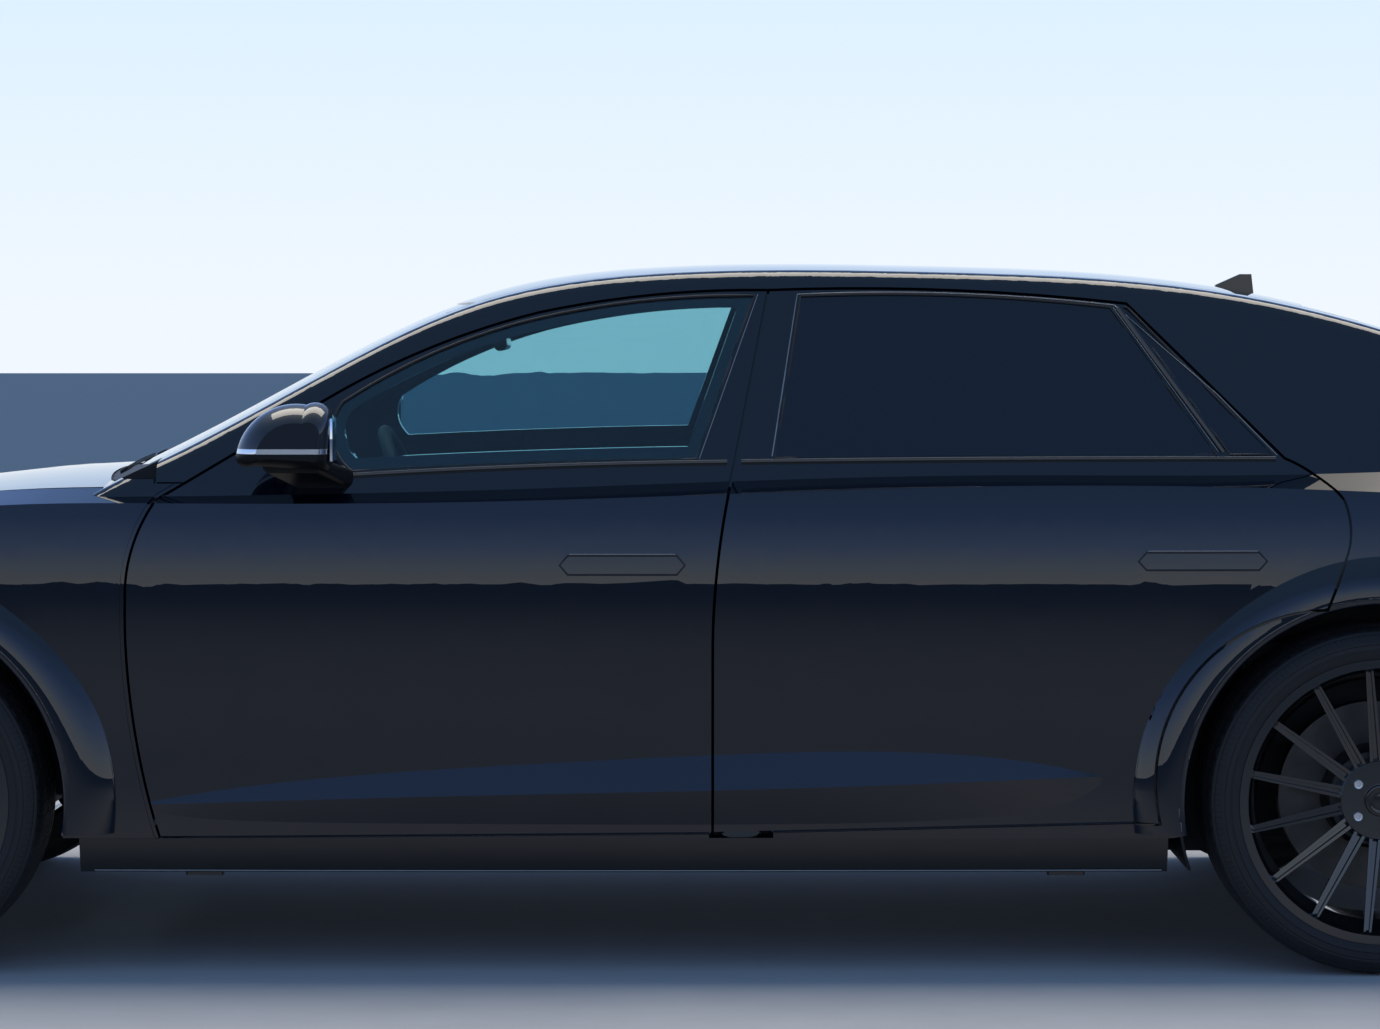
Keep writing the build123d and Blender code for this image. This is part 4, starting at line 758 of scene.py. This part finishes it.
# Columns: name, finish, centre, size, edge radius, lean in degrees.
DASH_PIECES = (
    ("driver_display", display, (-0.797, -0.38, 0.990), (0.010, 0.250, 0.070), 0.004, 0),
    ("centre_display", display, (-0.800, 0.0, 0.985), (0.014, 0.330, 0.170), 0.006, -12),
    ("dash_vent_1", gloss_black, (-0.808, -0.66, 0.893), (0.020, 0.110, 0.030), 0.005, 0),
    ("dash_vent_2", gloss_black, (-0.808, -0.21, 0.893), (0.020, 0.110, 0.030), 0.005, 0),
    ("dash_vent_3", gloss_black, (-0.808, 0.21, 0.893), (0.020, 0.110, 0.030), 0.005, 0),
    ("dash_vent_4", gloss_black, (-0.808, 0.66, 0.893), (0.020, 0.110, 0.030), 0.005, 0),
    ("cabin_mirror", gloss_black, (-0.470, 0.0, 1.335), (0.030, 0.250, 0.062), 0.012, -8),
)
for name, finish, centre, size, radius, lean in DASH_PIECES:
    slab(name, "body", finish, centre, size, radius, math.radians(lean))
MIRROR_STEM = [(-0.485, 0.0, 1.345), (-0.520, 0.0, 1.385), (-0.545, 0.0, 1.398)]
bar("cabin_mirror_stem", "body", plastic, MIRROR_STEM, 0.016)


# Door trims. Padded leather cards with an armrest and a pull handle, clipped to the inside
# of each door.
CARDS = (("front_door", -0.900, -0.150), ("rear_door", 0.300, 0.870))
CARD_Y, CARD_Z, CARD_THICK, CARD_TALL = 0.830, 0.770, 0.020, 0.130
REST_Y, REST_Z, REST_DEEP, REST_TALL = 0.808, 0.660, 0.060, 0.055
REST_SHARE = 0.9
PULL_HALF, PULL_BEND, PULL_Z, PULL_THICK = 0.15, 0.13, 0.845, 0.012
PULL_FOOT_Y, PULL_GRIP_Y = 0.822, 0.806
for side, sign in SIDES:
    for door, x0, x1 in CARDS:
        body = f"{door}_{side}"
        middle, wide = (x0 + x1) / 2, x1 - x0
        slab(f"{door}_card_{side}", body, leather, (middle, sign * CARD_Y, CARD_Z),
             (wide, CARD_THICK, CARD_TALL), 0.008)
        slab(f"{door}_armrest_{side}", body, leather, (middle, sign * REST_Y, REST_Z),
             (wide * REST_SHARE, REST_DEEP, REST_TALL), 0.018)
        grip = [
            (middle - PULL_HALF, sign * PULL_FOOT_Y, PULL_Z),
            (middle - PULL_BEND, sign * PULL_GRIP_Y, PULL_Z),
            (middle + PULL_BEND, sign * PULL_GRIP_Y, PULL_Z),
            (middle + PULL_HALF, sign * PULL_FOOT_Y, PULL_Z),
        ]
        bar(f"{door}_pull_{side}", body, satin_trim, grip, PULL_THICK)


# Rear wheel well panels. Pressed black sheets that close the inner side of each rear wheel
# well above the suspension arms, spot-welded to the body behind the brake.
REAR_AXLE = AXLES[1][1]
WELL_Y, WELL_Z = 0.655, 0.57
WELL_SHEET = (0.520, 0.004, 0.220)
for side, sign in SIDES:
    slab(f"rear_well_panel_{side}", "body", plastic, (REAR_AXLE, sign * WELL_Y, WELL_Z),
         WELL_SHEET, 0.0015)


# Floor and light. A pale concrete-grey studio floor whose colour darkens away from the car, a painted
# pool of light with painted falloff, a soft sky-coloured world and one wide softbox overhead.
bpy.ops.mesh.primitive_plane_add(size=160.0, location=(0, 0, 0))
ground = bpy.context.object
ground.name = "studio_floor"
pale_floor = Finish("pale_floor", Roughness=0.9, Specular_IOR_Level=0.1)
gx, gy, _ = pale_floor.axes()
LIT_POOL_HALF_X, LIT_POOL_HALF_Y = 1.9, 0.6
PAINTED_FALLOFF_FROM, PAINTED_FALLOFF_OVER = 0.9, 4.5
away_x = gx.math("MAXIMUM", gx.math("ABSOLUTE", gx) - LIT_POOL_HALF_X, 0.0)
away_y = gy.math("MAXIMUM", gy.math("ABSOLUTE", gy) - LIT_POOL_HALF_Y, 0.0)
away = gx.math("SQRT", away_x * away_x + away_y * away_y)
speckle = pale_floor.noise(5.0, 8.0, 0.6)
speckled_lit_pool_colour = pale_floor.mix(speckle, (0.40, 0.395, 0.39), (0.47, 0.465, 0.46))
# The darker grey further out is painted falloff of light: the floor gets the same light everywhere, so
# the pale pool round the car is painted into its colour.
painted_light_falloff = away.above(PAINTED_FALLOFF_FROM, PAINTED_FALLOFF_OVER)
pale_floor.set("Base Color", pale_floor.mix(painted_light_falloff, speckled_lit_pool_colour, (0.30, 0.30, 0.29)))
pale_floor.on(ground)

# Columns: sine of the height above the horizon, colour of the sky there.
SKY = (
    (0.0, (0.88, 0.94, 1.02)),
    (0.08, (0.72, 0.88, 1.10)),
    (0.2, (0.44, 0.66, 1.15)),
    (0.38, (0.24, 0.42, 0.90)),
    (0.6, (0.17, 0.32, 0.60)),
    (1.0, (0.17, 0.31, 0.52)),
)
world = bpy.data.worlds.new("studio")
bpy.context.scene.world = world
world.use_nodes = True
tree = world.node_tree
where = tree.nodes.new("ShaderNodeTexCoord")
split = tree.nodes.new("ShaderNodeSeparateXYZ")
ramp = tree.nodes.new("ShaderNodeValToRGB")
while len(ramp.color_ramp.elements) < len(SKY):
    ramp.color_ramp.elements.new(0.5)
for element, (position, colour) in zip(ramp.color_ramp.elements, SKY):
    element.position = position
    element.color = (*colour, 1.0)
background = tree.nodes["Background"]
tree.links.new(where.outputs["Generated"], split.inputs[0])
tree.links.new(split.outputs["Z"], ramp.inputs[0])
tree.links.new(ramp.outputs[0], background.inputs[0])
background.inputs[1].default_value = 1.0

bpy.ops.object.light_add(type="AREA", location=(0.0, 1.5, 7.0))
softbox = bpy.context.object
softbox.data.energy = 600.0
softbox.data.color = (1.0, 0.93, 0.82)
softbox.data.shape = "RECTANGLE"
softbox.data.size = 9.0
softbox.data.size_y = 4.0

CAMERA_PLACE = (-0.0345, -9.45, 1.4)
CAMERA_PITCH = 2.88
bpy.ops.object.camera_add(location=CAMERA_PLACE, rotation=(math.radians(90 - CAMERA_PITCH), 0, 0))
camera = bpy.context.object
camera.data.lens = 106.46
camera.data.sensor_width = 36.0
bpy.context.scene.camera = camera
bpy.context.scene.view_settings.view_transform = "Standard"
